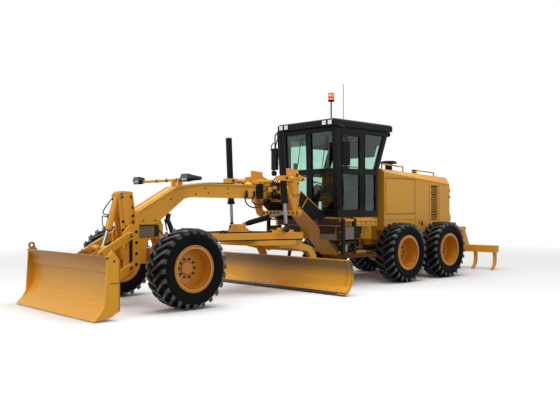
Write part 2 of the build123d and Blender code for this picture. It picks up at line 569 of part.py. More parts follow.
# ---- blade-lift saddle and lift cylinders --------------------------------------------------------
SADDLE_X0, SADDLE_X1 = 3235, 3430
ARM_Y0, ARM_Y1 = 470, 530
LINK_X0, LINK_X1, LINK_Z0, LINK_Z1 = 3212, 3262, 1385, 1475
LIFT_TOP = (3887, 719, 2880)
LIFT_PIN = (3835, 741, 2050)   # trunnion of the left lift cylinder
LIFT_EYE = (3778, 762, 1150)   # socket on the drawbar
LIFT_BALL_R = 62
LIFT_R, LIFT_ROD_R = 60, 30
LIFT_BARREL = 450              # barrel below the trunnion
LIFT_ABOVE = 832               # barrel above the trunnion
LIFT_INSIDE = 720              # rod inside the barrel, as parked
YOKE_PLATE = 25
TRUNNION_R = 28
YOKE_GAP = LIFT_R + 12
SHIFT_EYE = (3310, 200, 1430)      # ball of the centre-shift rod, before the saddle's link bar
SHIFT_EYE_R = 40
SHIFT_FOOT = (3480, -650, 1225)    # foot of its barrel, on the drawbar's right rear corner
SHIFT_FOOT_R = 48
SHIFT_PAD_T = 45
SHIFT_PAD_TURN, SHIFT_PAD_LEAN = 47, -0.18   # the pad faces the way the foot never pushes past
SHIFT_R, SHIFT_ROD_R = 55, 28
SHIFT_MOUTH, SHIFT_INNER = 334, 526    # barrel's mouth and rod's inner end, measured from the rod's ball


def make_saddle():
    shape = box(SADDLE_X0, SADDLE_X1, -230, 230, 1640, 2010) - box(3000, 3600, -BEAM_W, BEAM_W, 1690, 1948)
    side = prism("y", ARM_Y0, ARM_Y1, [(SADDLE_X0, 1400), (SADDLE_X0 + 40, 1385), (3300, 1385), (SADDLE_X1, 1700),
                                       (SADDLE_X1 + 60, 2170), (3500, 2250), (SADDLE_X0, 2230)])
    side += pin_y(3340, 1850, 220, ARM_Y1 + 30, 85)
    side += box(3400, 3560, ARM_Y0, 640, 2010, 2130)
    side += rod((3520, 600, LIFT_PIN[2]), (3640, LIFT_PIN[1], LIFT_PIN[2]), 50)
    side += rod((3600, LIFT_PIN[1], LIFT_PIN[2]), (LIFT_PIN[0] - LIFT_R - 60, LIFT_PIN[1], LIFT_PIN[2]), 48)
    link = box(LINK_X0, LINK_X1, -ARM_Y1, ARM_Y1, LINK_Z0, LINK_Z1)
    for y in (-400, -200, 0, 400):
        link -= rod((LINK_X0 - 5, y, 1430), (LINK_X1 + 5, y, 1430), 26)
    x, y, z = SHIFT_EYE
    link += rod((LINK_X0, y, z), (x - 25, y, z), 38) - ball(SHIFT_EYE, SHIFT_EYE_R + RUN_GAP)
    return shape + both_sides(side) + link


def make_lift_yoke(side):
    """Ring round the barrel, hung from the saddle by a pin along X and carrying the trunnions along Y."""
    x, y, z = LIFT_PIN
    y *= side
    gap, t = YOKE_GAP, YOKE_PLATE
    ring = box(x - gap - t, x + gap + t, y - gap - t, y + gap + t, z - 45, z + 45)
    ring -= box(x - gap, x + gap, y - gap, y + gap, z - 50, z + 50)
    ring -= pin_y(x, z, y - gap - t - 5, y + gap + t + 5, TRUNNION_R + RUN_GAP)
    return ring + rod((x - gap - t + 1, y, z), (x - gap - t - 60, y, z), 26)


def bored_for_yoke(saddle):
    x, y, z = LIFT_PIN
    for s in (1, -1):
        saddle -= rod((x - YOKE_GAP - YOKE_PLATE - 60 - SIDE_GAP, s * y, z), (x, s * y, z), 26 + RUN_GAP)
        saddle -= rod((x - YOKE_GAP - YOKE_PLATE - 2, s * y, z), (x, s * y, z), 60)
    return saddle


def lift_axis(side, d):
    """Point at distance d below the trunnion on the lift cylinder's line."""
    p = (LIFT_PIN[0], side * LIFT_PIN[1], LIFT_PIN[2])
    q = (LIFT_EYE[0], side * LIFT_EYE[1], LIFT_EYE[2])
    length = hypot(*(b - a for a, b in zip(p, q)))
    return between(p, q, d / length), length


def make_lift_barrel(side):
    at = lambda d: lift_axis(side, d)[0]
    barrel = rod(at(-LIFT_ABOVE), at(LIFT_BARREL), LIFT_R)
    barrel += rod(at(LIFT_BARREL - 60), at(LIFT_BARREL), LIFT_R + 12)
    x, y, z = at(0)
    reach = YOKE_GAP + YOKE_PLATE
    barrel += pin_y(x, z, y - reach, y + reach, TRUNNION_R)
    return barrel - rod(at(-LIFT_ABOVE + 40), at(LIFT_BARREL + 1), LIFT_ROD_R + RUN_GAP)


def make_lift_rod(side):
    at = lambda d: lift_axis(side, d)[0]
    length = lift_axis(side, 0)[1]
    tip = length - LIFT_BALL_R - RUN_GAP - LIFT_ROD_R
    return rod(at(LIFT_BARREL - LIFT_INSIDE), at(tip), LIFT_ROD_R) + Pos(*at(tip)) * Sphere(LIFT_ROD_R)


save("lift_saddle", bored_for_yoke(make_saddle()))
for name, side in (("left", 1), ("right", -1)):
    save(f"lift_yoke_{name}", make_lift_yoke(side))
    save(f"lift_barrel_{name}", make_lift_barrel(side))
    save(f"lift_rod_{name}", make_lift_rod(side))

# ---- drawbar, circle, blade ----------------------------------------------------------------------
DRAW_Z0, DRAW_Z1 = 945, 1080
DRAW_REAR_X, DRAW_FRONT_X = 3400, BALL[0] - 330
DRAW_REAR_HALF = 808.5
DRAW_SPREAD = (DRAW_REAR_HALF - 50) / (BALL[0] - DRAW_REAR_X)      # outward run of the sides
DRAW_RAIL = 130
CIRCLE_X = 3700
CIRCLE_R, CIRCLE_IN = 775, 640
CIRCLE_Z0, CIRCLE_Z1 = 860, 944.5
PINION_R = 85
GEAR_TEETH, GEAR_DEPTH = 66, 24      # ring gear round the inside of the circle


def draw_half(x):
    return 50 + DRAW_SPREAD * (BALL[0] - x)


def make_drawbar():
    xf, xr = DRAW_FRONT_X, DRAW_REAR_X
    outline = [(xf, draw_half(xf)), (xr, draw_half(xr)), (xr, -draw_half(xr)), (xf, -draw_half(xf))]
    plate = prism("z", DRAW_Z0, DRAW_Z1, outline)
    for a, b in ((BALL[0] - 740, 4480), (4020, 3560)):
        hole = [(x, s * (draw_half(x) - DRAW_RAIL)) for x, s in ((a, 1), (b, 1), (b, -1), (a, -1))]
        plate -= prism("z", DRAW_Z0 - 5, DRAW_Z1 + 5, hole)
    tongue = prism("y", -90, 90, [(BALL[0] - 50, BALL[2] - 60), (BALL[0] - 50, BALL[2] + 60), (BALL[0] - 410, DRAW_Z1),
                                  (BALL[0] - 590, DRAW_Z1), (BALL[0] - 590, DRAW_Z0), (BALL[0] - 390, DRAW_Z0 - 40),
                                  (BALL[0] - 190, 690)])
    tongue -= box(BALL[0] - 35, BALL[0] + 60, -200, 200, 600, 900)
    tongue -= ball(BALL, BALL_R + RUN_GAP)
    x, y, z = LIFT_EYE
    posts = box(3530, 3940, 560, 695, DRAW_Z1 - 20, 1125) + box(3700, 3860, 600, 695, 1100, 1168)
    posts += pin_y(x, z, 690, y, 32) + ball(LIFT_EYE, LIFT_BALL_R)
    drive = pin_z(4245, 0, DRAW_Z1 - 10, 1230, 130) + box(4130, 4360, -180, 180, DRAW_Z1 - 5, 1120)
    drive += pin_z(4245, 0, CIRCLE_Z0, DRAW_Z0 + 10, PINION_R)
    shape = plate + tongue + both_sides(posts) + drive
    # upright pad that the centre-shift cylinder's foot bears on
    x, y, z = SHIFT_FOOT
    turn = degrees(atan2(y - SHIFT_EYE[1], x - SHIFT_EYE[0])) + SHIFT_PAD_TURN
    near = (SHIFT_FOOT_R + RUN_GAP) * hypot(1, SHIFT_PAD_LEAN)
    far = near + SHIFT_PAD_T
    foot_z = DRAW_Z1 - 10
    pad = prism("y", -50, 50, [(near - 20 * SHIFT_PAD_LEAN, z + 20), (near + (z - foot_z) * SHIFT_PAD_LEAN, foot_z),
                               (far + 30, foot_z), (far, z + 20)])
    return shape + Pos(x, y, 0) * Rot(0, 0, turn) * pad


def make_ball():
    return ball(BALL, BALL_R)


ARM_PIVOT = (3060, 230)       # blade tip pivot
BLADE_ARM_Y0, BLADE_ARM_Y1 = 650, 720
TIP_PIN_R = 35


TIP_BASE = (2940, 0, 720)
TIP_EYE = (3010, 0, 420)
TIP_R, TIP_ROD_R = 32, 18


def ring_gear_hole():
    """The circle's inner outline: tooth tips at CIRCLE_IN, gaps GEAR_DEPTH deep between them."""
    pitch = 2 * pi / GEAR_TEETH
    tooth = ((CIRCLE_IN, -0.17), (CIRCLE_IN, 0.17), (CIRCLE_IN + GEAR_DEPTH, 0.30), (CIRCLE_IN + GEAR_DEPTH, 0.70))
    points = [(CIRCLE_X + r * cos((k + t) * pitch), r * sin((k + t) * pitch)) for k in range(GEAR_TEETH) for r, t in tooth]
    return prism("z", CIRCLE_Z0 - 5, CIRCLE_Z1 + 5, points)


def make_circle():
    ring = pin_z(CIRCLE_X, 0, CIRCLE_Z0, CIRCLE_Z1, CIRCLE_R) - ring_gear_hole()
    arm = prism("y", BLADE_ARM_Y0, BLADE_ARM_Y1,
                [(3900, 862), (3260, 862), (3080, 800), (2960, 640), (2960, 300), (3010, 190), (3095, 190),
                 (3105, 280), (3075, 400), (3075, 560), (3180, 720), (3560, 800), (3900, 820)])
    arm += pin_y(ARM_PIVOT[0], ARM_PIVOT[1], BLADE_ARM_Y0 - 8, BLADE_ARM_Y1, 58)
    arm -= pin_y(ARM_PIVOT[0], ARM_PIVOT[1], BLADE_ARM_Y0 - 20, BLADE_ARM_Y1 + 20, TIP_PIN_R + RUN_GAP)
    cross = box(3000, 3060, -BLADE_ARM_Y0 - 10, BLADE_ARM_Y0 + 10, 700, 800)
    shape = ring + both_sides(arm) + cross
    x, y, z = TIP_BASE
    gap = 2 * (TIP_R + SIDE_GAP)
    return shape + clevis_y(x, z, y, gap, 3030, 760, r=38, t=18) + pin_y(x, z, -gap / 2 - 8, gap / 2 + 8, 18)


# Moldboard section: a curved plate, concave to the front, with two slide rails behind.
MOLD_HALF = 1829
MOLD_BOTTOM, MOLD_MID, MOLD_TOP = (3395, 25), (3215, 330), (3290, 620)
MOLD_T = 22
RAIL_LOW, RAIL_HIGH = 200, 500     # middle heights of the two slide rails
RAIL_HALF_Z, RAIL_X0, RAIL_X1 = 22, 3125, 3215
CUTTING_EDGE = [(3409, 11), (3422, 24), (3302, 143), (3284, 124), (3390, 19)]     # bolted along the lower front
END_BIT_W, END_BIT_PROUD = 180, 8


def make_moldboard():
    b, m, t = MOLD_BOTTOM, MOLD_MID, MOLD_TOP
    point = lambda p, dx: (p[0] + dx, -MOLD_HALF, p[1])
    front = ThreePointArc(point(b, 0), point(m, 0), point(t, 0))
    back = ThreePointArc(point(b, -MOLD_T), point(m, -MOLD_T), point(t, -MOLD_T))
    edges = [front, back, Line(point(b, 0), point(b, -MOLD_T)), Line(point(t, 0), point(t, -MOLD_T))]
    shape = extrude(make_face(Wire(edges)), amount=2 * MOLD_HALF, dir=(0, 1, 0))
    for z in (RAIL_LOW, RAIL_HIGH):
        rail = box(RAIL_X0, 3240, -1500, 1500, z - RAIL_HALF_Z, z + RAIL_HALF_Z)
        rail -= extrude(make_face(Wire([front, *chord_box(b, t, point)])), amount=2 * MOLD_HALF, dir=(0, 1, 0))
        shape += rail
    edge = prism("y", -MOLD_HALF, MOLD_HALF, CUTTING_EDGE)
    proud = END_BIT_PROUD
    outline = [(x + proud, z + proud) if 0 < i < 3 else (x, z) for i, (x, z) in enumerate(CUTTING_EDGE)]
    end_bit = prism("y", MOLD_HALF - END_BIT_W, MOLD_HALF, outline)
    return shape + edge + both_sides(end_bit)


def chord_box(b, t, point):
    """Edges that close the space in front of the moldboard, for trimming the rails."""
    far = 3700
    return [Line(point(t, 0), (far, -MOLD_HALF, t[1])), Line((far, -MOLD_HALF, t[1]), (far, -MOLD_HALF, b[1])),
            Line((far, -MOLD_HALF, b[1]), point(b, 0))]


def make_tip_bracket():
    """Carrier pinned to the circle's arms; its jaws hold the moldboard's rails."""
    shape = pin_y(ARM_PIVOT[0], ARM_PIVOT[1], -BLADE_ARM_Y1, BLADE_ARM_Y1, TIP_PIN_R)
    side = prism("y", 560, 630, [(3010, 180), (3170, 150), (3190, 250), (3110, 300), (3110, 450), (3190, 450),
                                 (3190, 550), (3090, 550), (3000, 440)])
    shape += both_sides(side)
    shape += box(3058, 3100, -600, 600, 380, 440)
    for z in (RAIL_LOW, RAIL_HIGH):
        g = SLIDE_GAP
        shape -= box(RAIL_X0 - g, 3300, -800, 800, z - RAIL_HALF_Z - g, z + RAIL_HALF_Z + g)
    x, y, z = TIP_EYE
    return shape + clevis_y(x, z, y, 50, 3072, 410, r=30, t=16)


def make_tip_barrel():
    base = pin_y(TIP_BASE[0], TIP_BASE[2], -22, 22, 36) - pin_y(TIP_BASE[0], TIP_BASE[2], -30, 30, 18 + RUN_GAP)
    return cylinder_barrel(TIP_BASE, TIP_EYE, 30, 200, TIP_R, TIP_ROD_R, cap=15) + base


def make_tip_rod():
    eye = pin_y(TIP_EYE[0], TIP_EYE[2], -20, 20, 28)
    return cylinder_rod(TIP_BASE, TIP_EYE, 70, TIP_ROD_R, eye)


def make_shift_barrel():
    length = hypot(*(b - a for a, b in zip(SHIFT_EYE, SHIFT_FOOT)))
    at = lambda d: between(SHIFT_EYE, SHIFT_FOOT, d / length)
    bore_end = length - SHIFT_FOOT_R - 40
    barrel = rod(at(SHIFT_MOUTH), at(length - SHIFT_FOOT_R), SHIFT_R)
    barrel -= rod(at(SHIFT_MOUTH - 1), at(bore_end), SHIFT_ROD_R + RUN_GAP)
    barrel += rod(at(bore_end), at(length), SHIFT_FOOT_R - 8)
    return barrel + ball(SHIFT_FOOT, SHIFT_FOOT_R)


def make_shift_rod():
    length = hypot(*(b - a for a, b in zip(SHIFT_EYE, SHIFT_FOOT)))
    return rod(SHIFT_EYE, between(SHIFT_EYE, SHIFT_FOOT, SHIFT_INNER / length), SHIFT_ROD_R) + ball(SHIFT_EYE, SHIFT_EYE_R)


save("drawbar_ball", make_ball())
save("drawbar", make_drawbar())
save("circle", make_circle())
save("tip_bracket", make_tip_bracket())
save("moldboard", make_moldboard())
save("tip_barrel", make_tip_barrel())
save("tip_rod", make_tip_rod())
save("shift_barrel", make_shift_barrel())
save("shift_rod", make_shift_rod())

# ---- dozer ---------------------------------------------------------------------------------------
DOZER_PIN_X, DOZER_LOW_Z, DOZER_HIGH_Z = BOLSTER_X1 + 200, 595, 1094
DOZER_RUN, DOZER_DROP = 500, 266       # from the frame's pins forward and down to the blade's pins
DOZER_ARM_Y0, DOZER_ARM_Y1 = 240, 290
DOZER_HALF = 1281
DOZER_TOP, DOZER_LIP = (BLADE_TIP_X - 170, 872), (BLADE_TIP_X, 15)
DOZER_HOLLOW, DOZER_T = 132, 24        # depth of the blade's curve, thickness of its plate
DOZER_REAR = BLADE_TIP_X - 385         # rear edge of the end plates
DOZER_CYL_TOP = (BOLSTER_X1 + 258, 0, 1740)
DOZER_CYL_EYE = (DOZER_PIN_X + 352, 0, 818)
DOZER_CYL_R, DOZER_ROD_R = 55, 28


def make_tower():
    x0 = BOLSTER_X1
    foot = both_sides(prism("y", 150, 200, [(x0, 560), (x0 + 170, 520), (DOZER_PIN_X + 60, 560),
                                            (DOZER_PIN_X + 60, 1150), (x0 + 150, 1270), (x0, 1270)]))
    foot += box(BOLSTER_X1, BOLSTER_X1 + 40, -200, 200, 560, 1468)
    mast = prism("y", 75, 110, [(x0, 1100), (x0 + 190, 900), (x0 + 240, 1100), (x0 + 310, 1730), (x0 + 250, 1790),
                                (x0 + 70, 1780), (x0 + 20, 1468)])
    rib = flat_link("y", 110, 122, (x0 + 215, 1700), (x0 + 165, 1290), 48, 40)
    shape = foot + both_sides(mast + rib) + box(x0 + 110, x0 + 150, -200, 200, 700, 1250)
    for z in (DOZER_LOW_Z, DOZER_HIGH_Z):
        shape += both_sides(pin_y(DOZER_PIN_X, z, 180, DOZER_ARM_Y1 + 5, 30))
    return shape + pin_y(DOZER_CYL_TOP[0], DOZER_CYL_TOP[2], -115, 115, 28)


def dozer_arm(z, side_y0=DOZER_ARM_Y0, side_y1=DOZER_ARM_Y1):
    x, run, drop = DOZER_PIN_X, DOZER_RUN, DOZER_DROP
    arm = flat_link("y", side_y0, side_y1, (x, z), (x + run, z - drop), 62, 55, 30 + RUN_GAP, 30 + RUN_GAP)
    return both_sides(arm)


def make_lower_arms():
    mid = (DOZER_PIN_X + DOZER_RUN * 0.5, DOZER_LOW_Z - DOZER_DROP * 0.5)
    return dozer_arm(DOZER_LOW_Z) + pin_y(mid[0], mid[1], -DOZER_ARM_Y0 - 10, DOZER_ARM_Y0 + 10, 45)


def make_upper_arms():
    x, z = DOZER_CYL_EYE[0], DOZER_CYL_EYE[2]
    t = (x - DOZER_PIN_X) / DOZER_RUN
    mid = (x, DOZER_HIGH_Z - DOZER_DROP * t)
    cheek_y = DOZER_ROD_R + 7
    shape = dozer_arm(DOZER_HIGH_Z) + both_sides(pin_y(mid[0], mid[1], cheek_y + 5, DOZER_ARM_Y0 + 10, 42))
    return shape + clevis_y(x, z, 0, 2 * cheek_y, mid[0], mid[1], r=40, t=22)


def dozer_plate():
    """The blade's concave plate, running out to a straight lip."""
    (tx, tz), (lx, lz), t = DOZER_TOP, DOZER_LIP, DOZER_T
    at = lambda x, z: (x, -DOZER_HALF, z)
    knee = (tx + 60, 125)
    front = ThreePointArc(at(tx, tz), at(tx - DOZER_HOLLOW, 470), at(*knee))
    back = ThreePointArc(at(knee[0] - 30, 95), at(tx - DOZER_HOLLOW - t, 465), at(tx - t - 6, tz))
    edges = [front, Line(at(*knee), at(lx, lz)), Line(at(lx, lz), at(lx - 45, lz)),
             Line(at(lx - 45, lz), at(knee[0] - 30, 95)), back, Line(at(tx - t - 6, tz), at(tx, tz))]
    return extrude(make_face(Wire(edges)), amount=2 * DOZER_HALF, dir=(0, 1, 0))


def make_dozer_blade():
    (tx, tz), (lx, lz) = DOZER_TOP, DOZER_LIP
    rear = DOZER_REAR
    end = [(tx - 30, 862), (tx - 102, 945), (tx - 162, 880), (rear, 800), (rear, 123), (rear + 143, 45), (lx - 40, 20),
           (tx + 10, 205)]
    shape = dozer_plate() + both_sides(prism("y", DOZER_HALF - 30, DOZER_HALF, end))
    shape += pin_y(LIFT_EAR[0], LIFT_EAR[2], -DOZER_HALF, -DOZER_HALF + 30, 55)
    shape -= pin_y(LIFT_EAR[0], LIFT_EAR[2], -DOZER_HALF - 5, -DOZER_HALF + 35, LIFT_EAR_R)
    for z, x1 in ((150, tx - 50), (640, tx - 100)):
        shape += box(rear + 20, x1, -DOZER_HALF + 10, DOZER_HALF - 10, z, z + 110)
    low = (DOZER_PIN_X + DOZER_RUN, DOZER_LOW_Z - DOZER_DROP)
    high = (DOZER_PIN_X + DOZER_RUN, DOZER_HIGH_Z - DOZER_DROP)
    mast = [(low[0] - 50, low[1] - 50), (rear + 60, 150), (rear + 60, 750), (high[0] + 40, high[1] + 55),
            (high[0] - 50, high[1] + 40), (high[0] - 50, high[1] - 50), (rear - 117, 600), (rear - 117, 450)]
    shape += both_sides(prism("y", DOZER_ARM_Y0 - SIDE_GAP - 30, DOZER_ARM_Y0 - SIDE_GAP, mast))
    for x, z in (low, high):
        shape += both_sides(pin_y(x, z, DOZER_ARM_Y0 - SIDE_GAP - 10, DOZER_ARM_Y1 + 5, 30))
    return shape


LIFT_EAR, LIFT_EAR_R = (DOZER_TOP[0] - 84, -DOZER_HALF, 930), 25


def make_dozer_barrel():
    top = DOZER_CYL_TOP
    base = pin_y(top[0], top[2], -68, 68, 50) - pin_y(top[0], top[2], -80, 80, 28 + RUN_GAP)
    barrel = cylinder_barrel(DOZER_CYL_TOP, DOZER_CYL_EYE, 45, 590, DOZER_CYL_R, DOZER_ROD_R)
    return barrel + base - pin_y(top[0], top[2], -80, 80, 28 + RUN_GAP)


def make_dozer_rod():
    eye = pin_y(DOZER_CYL_EYE[0], DOZER_CYL_EYE[2], -30, 30, 38)
    return cylinder_rod(DOZER_CYL_TOP, DOZER_CYL_EYE, 330, DOZER_ROD_R, eye)


save("dozer_tower", make_tower())
save("dozer_lower_arms", make_lower_arms())
save("dozer_upper_arms", make_upper_arms())
save("dozer_blade", make_dozer_blade())
save("dozer_barrel", make_dozer_barrel())
save("dozer_rod", make_dozer_rod())

# ---- ripper --------------------------------------------------------------------------------------
RIPPER_BEAM = (-3150, -2964, 430, 600)
RIPPER_HALF = 1100
SHANK_STEP = 522
RIPPER_CYL_EYE = (-2560, 0, 560)
SHANK_T = 56


def ripper_link(z):
    x = RIPPER_PIN_X
    link = flat_link("y", RIPPER_LINK_Y0, RIPPER_LINK_Y1, (x - RIPPER_ARM, z), (x, z), 48, 48,
                     25 + RUN_GAP, 25 + RUN_GAP)
    return both_sides(link)


def make_ripper_lower_links():
    x, z = -2480, RIPPER_LOW_Z
    shape = ripper_link(z) + pin_y(x, z, -RIPPER_LINK_Y0 - 10, RIPPER_LINK_Y0 + 10, 42)
    return shape + clevis_y(RIPPER_CYL_EYE[0], RIPPER_CYL_EYE[2], 0, 66, x, z, r=40, t=20)


def make_ripper_upper_links():
    x = RIPPER_PIN_X - RIPPER_ARM + 110
    return ripper_link(RIPPER_HIGH_Z) + pin_y(x, RIPPER_HIGH_Z, -RIPPER_LINK_Y0 - 10, RIPPER_LINK_Y0 + 10, 30)


def make_shank(y, x, z):
    """A shank whose lower end curves forward to its point; x, z is its rear upper corner."""
    at = lambda a, b: (x + a, y - SHANK_T / 2, b)
    edges = [Line(at(0, z), at(0, 250)), ThreePointArc(at(0, 250), at(46, 110), at(205, 12)), Line(at(205, 12), at(240, 32)),
             ThreePointArc(at(240, 32), at(122, 140), at(90, 260)), Line(at(90, 260), at(90, z)), Line(at(90, z), at(0, z))]
    return extrude(make_face(Wire(edges)), amount=SHANK_T, dir=(0, 1, 0))


def make_ripper_beam():
    x0, x1, z0, z1 = RIPPER_BEAM
    shape = box(x0, x1, -RIPPER_HALF, RIPPER_HALF, z0, z1)
    px = RIPPER_PIN_X - RIPPER_ARM
    cheek = [(px - 55, RIPPER_HIGH_Z + 50), (px + 50, RIPPER_HIGH_Z + 50), (px + 60, RIPPER_LOW_Z - 55), (x1 - 20, z0),
             (x0 + 10, z1), (x0 + 30, z1 + 60)]
    y_in = RIPPER_LINK_Y0 - SIDE_GAP
    shape += both_sides(prism("y", y_in - 30, y_in, cheek))
    for z in (RIPPER_LOW_Z, RIPPER_HIGH_Z):
        shape += both_sides(pin_y(px, z, y_in - 5, RIPPER_LINK_Y1 + 5, 25))
    for i in range(-2, 3):
        shape += make_shank(i * SHANK_STEP, x0 + 40, z0 + 10)
    return shape


def make_ripper_barrel():
    top = RIPPER_CYL_TOP
    base = pin_y(top[0], top[2], -RIPPER_CYL_R, RIPPER_CYL_R, 45)
    barrel = cylinder_barrel(RIPPER_CYL_TOP, RIPPER_CYL_EYE, 40, 420, RIPPER_CYL_R, RIPPER_ROD_R, cap=20)
    return barrel + base - pin_y(top[0], top[2], -60, 60, 25 + RUN_GAP)


def make_ripper_rod():
    eye = pin_y(RIPPER_CYL_EYE[0], RIPPER_CYL_EYE[2], -28, 28, 38)
    return cylinder_rod(RIPPER_CYL_TOP, RIPPER_CYL_EYE, 330, RIPPER_ROD_R, eye)


save("ripper_lower_links", make_ripper_lower_links())
save("ripper_upper_links", make_ripper_upper_links())
save("ripper_beam", make_ripper_beam())
save("ripper_barrel", make_ripper_barrel())
save("ripper_rod", make_ripper_rod())

# ---- articulation cylinders ----------------------------------------------------------------------

def sided(point, side):
    return (point[0], side * point[1], point[2])


def make_artic_barrel(side):
    a, b = sided(ARTIC_REAR, side), sided(ARTIC_FRONT, side)
    half = ARTIC_EYE_T / 2
    eye = pin_z(a[0], a[1], a[2] - half, a[2] + half, 58)
    barrel = cylinder_barrel(a, b, 50, 640, ARTIC_R, ARTIC_ROD_R) + eye
    return barrel - pin_z(a[0], a[1], a[2] - 60, a[2] + 60, 30 + RUN_GAP)


def make_artic_rod(side):
    a, b = sided(ARTIC_REAR, side), sided(ARTIC_FRONT, side)
    half = ARTIC_EYE_T / 2
    return cylinder_rod(a, b, 400, ARTIC_ROD_R, pin_z(b[0], b[1], b[2] - half, b[2] + half, 55))


for name, side in (("left", 1), ("right", -1)):
    save(f"artic_barrel_{name}", make_artic_barrel(side))
    save(f"artic_rod_{name}", make_artic_rod(side))
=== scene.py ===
import math

import bmesh
import bpy
from mathutils import Matrix, Vector


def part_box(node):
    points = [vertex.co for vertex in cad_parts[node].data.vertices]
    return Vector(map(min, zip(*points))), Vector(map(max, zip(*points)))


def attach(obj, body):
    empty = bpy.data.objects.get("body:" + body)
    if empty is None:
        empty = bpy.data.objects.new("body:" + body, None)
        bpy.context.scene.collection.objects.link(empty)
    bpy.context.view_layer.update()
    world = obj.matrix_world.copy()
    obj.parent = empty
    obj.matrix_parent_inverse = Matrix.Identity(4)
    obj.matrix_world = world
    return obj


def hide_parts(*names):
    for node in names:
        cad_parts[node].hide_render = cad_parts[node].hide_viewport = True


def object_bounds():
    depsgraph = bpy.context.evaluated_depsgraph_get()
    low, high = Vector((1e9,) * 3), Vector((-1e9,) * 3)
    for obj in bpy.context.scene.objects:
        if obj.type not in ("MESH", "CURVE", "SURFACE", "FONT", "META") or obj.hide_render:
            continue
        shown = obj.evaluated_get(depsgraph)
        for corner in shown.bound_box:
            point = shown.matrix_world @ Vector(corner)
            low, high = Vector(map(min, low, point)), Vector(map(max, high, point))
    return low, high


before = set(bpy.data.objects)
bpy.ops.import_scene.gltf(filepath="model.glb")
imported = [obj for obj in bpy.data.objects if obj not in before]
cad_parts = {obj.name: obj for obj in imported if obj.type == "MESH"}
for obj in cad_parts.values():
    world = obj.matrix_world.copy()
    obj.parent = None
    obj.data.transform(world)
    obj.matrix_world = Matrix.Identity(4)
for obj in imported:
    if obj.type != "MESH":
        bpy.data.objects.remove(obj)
cad_box = [list(corner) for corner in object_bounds()]

# ---- where things stand --------------------------------------------------------------------------
# Stations along the machine are measured from the middle of the tandem, in metres, as a workshop
# drawing does; x_at() turns them into the shared frame, whose origin is under the middle of the machine.
tandem_front, tandem_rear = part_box("tyre_tandem_front_left"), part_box("tyre_tandem_rear_left")
TANDEM_MIDDLE = (tandem_front[0].x + tandem_rear[1].x) / 2


def x_at(station):
    return station + TANDEM_MIDDLE


# ---- camera, floor and light ---------------------------------------------------------------------
# The camera stands low at the machine's left front corner, with a long lens. The floor is a plain pale
# sheet under a white sky; a broad soft box overhead and two smaller ones, in front and beside, light
# the machine.
camera_data = bpy.data.cameras.new("camera")
camera_data.sensor_width = 36.0
camera_data.lens = 43.16
camera_data.clip_end = 400.0
camera = bpy.data.objects.new("camera", camera_data)
camera.location = (9.776, 9.374, 1.494)
heading, pitch, roll = 3.9534, -0.0007, -0.0024
turn = Matrix.Rotation(heading - math.pi / 2, 4, "Z") @ Matrix.Rotation(math.pi / 2 + pitch, 4, "X")
camera.rotation_euler = (turn @ Matrix.Rotation(roll, 4, "Z")).to_euler()
bpy.context.scene.collection.objects.link(camera)
bpy.context.scene.camera = camera
bpy.context.scene.view_settings.view_transform = "Standard"


def set_inputs(tree, node, inputs):
    """Each input takes a plain value or another node's output."""
    for key, value in inputs.items():
        if isinstance(value, bpy.types.NodeSocket):
            tree.links.new(value, node.inputs[key])
        else:
            node.inputs[key].default_value = value


def add_node(tree, kind, inputs=None, **settings):
    node = tree.nodes.new(kind)
    for key, value in settings.items():
        setattr(node, key, value)
    set_inputs(tree, node, inputs or {})
    return node


def worked_out(tree, operation, *inputs, **settings):
    """What a maths node makes of values or of other nodes' outputs."""
    return add_node(tree, "ShaderNodeMath", dict(enumerate(inputs)), operation=operation,
                    **settings).outputs[0]


def mixed(tree, factor, first, second, **settings):
    """A colour part of the way from the first to the second."""
    inputs = {"Factor": factor, "A": first, "B": second}
    return add_node(tree, "ShaderNodeMix", inputs, data_type="RGBA", **settings).outputs["Result"]


def new_material(name):
    """A material with nodes: returns it, its tree and its shader."""
    material = bpy.data.materials.new(name)
    material.use_nodes = True
    return material, material.node_tree, material.node_tree.nodes["Principled BSDF"]


def seen_directly(tree):
    """1 for camera, mirror and glass rays, 0 for the rays that carry soft light."""
    path = add_node(tree, "ShaderNodeLightPath").outputs
    first = worked_out(tree, "MAXIMUM", path["Is Camera Ray"], path["Is Glossy Ray"])
    return worked_out(tree, "MAXIMUM", first, path["Is Transmission Ray"])


FLOOR_LIT, FLOOR_SEEN, FLOOR_HALF = (0.34, 0.335, 0.33, 1), (0.80, 0.80, 0.80, 1), 90.0


def make_floor():
    material, tree, shader = new_material("pale_floor")
    # The lamps fade with distance, so far off the sheet shines a little to stay white to the eye.
    place = add_node(tree, "ShaderNodeTexCoord")
    away = add_node(tree, "ShaderNodeVectorMath", {0: place.outputs["Object"]}, operation="LENGTH")
    glow = add_node(tree, "ShaderNodeMapRange", {"Value": away.outputs["Value"], "From Min": 3.5,
                                                 "From Max": 20.0, "To Min": 0.0, "To Max": 0.68})
    set_inputs(tree, shader, {
        "Base Color": mixed(tree, seen_directly(tree), FLOOR_LIT, FLOOR_SEEN),
        "Emission Color": worked_out(tree, "MULTIPLY", glow.outputs["Result"], seen_directly(tree)),
        "Emission Strength": 1.0, "Roughness": 0.9, "Specular IOR Level": 0.0})
    mesh = bpy.data.meshes.new("floor")
    corners = [(a * FLOOR_HALF, b * FLOOR_HALF, cad_box[0][2]) for a, b in ((-1, -1), (1, -1),
                                                                            (1, 1), (-1, 1))]
    mesh.from_pydata(corners, [], [(0, 1, 2, 3)])
    mesh.materials.append(material)
    floor = bpy.data.objects.new("floor", mesh)
    bpy.context.scene.collection.objects.link(floor)


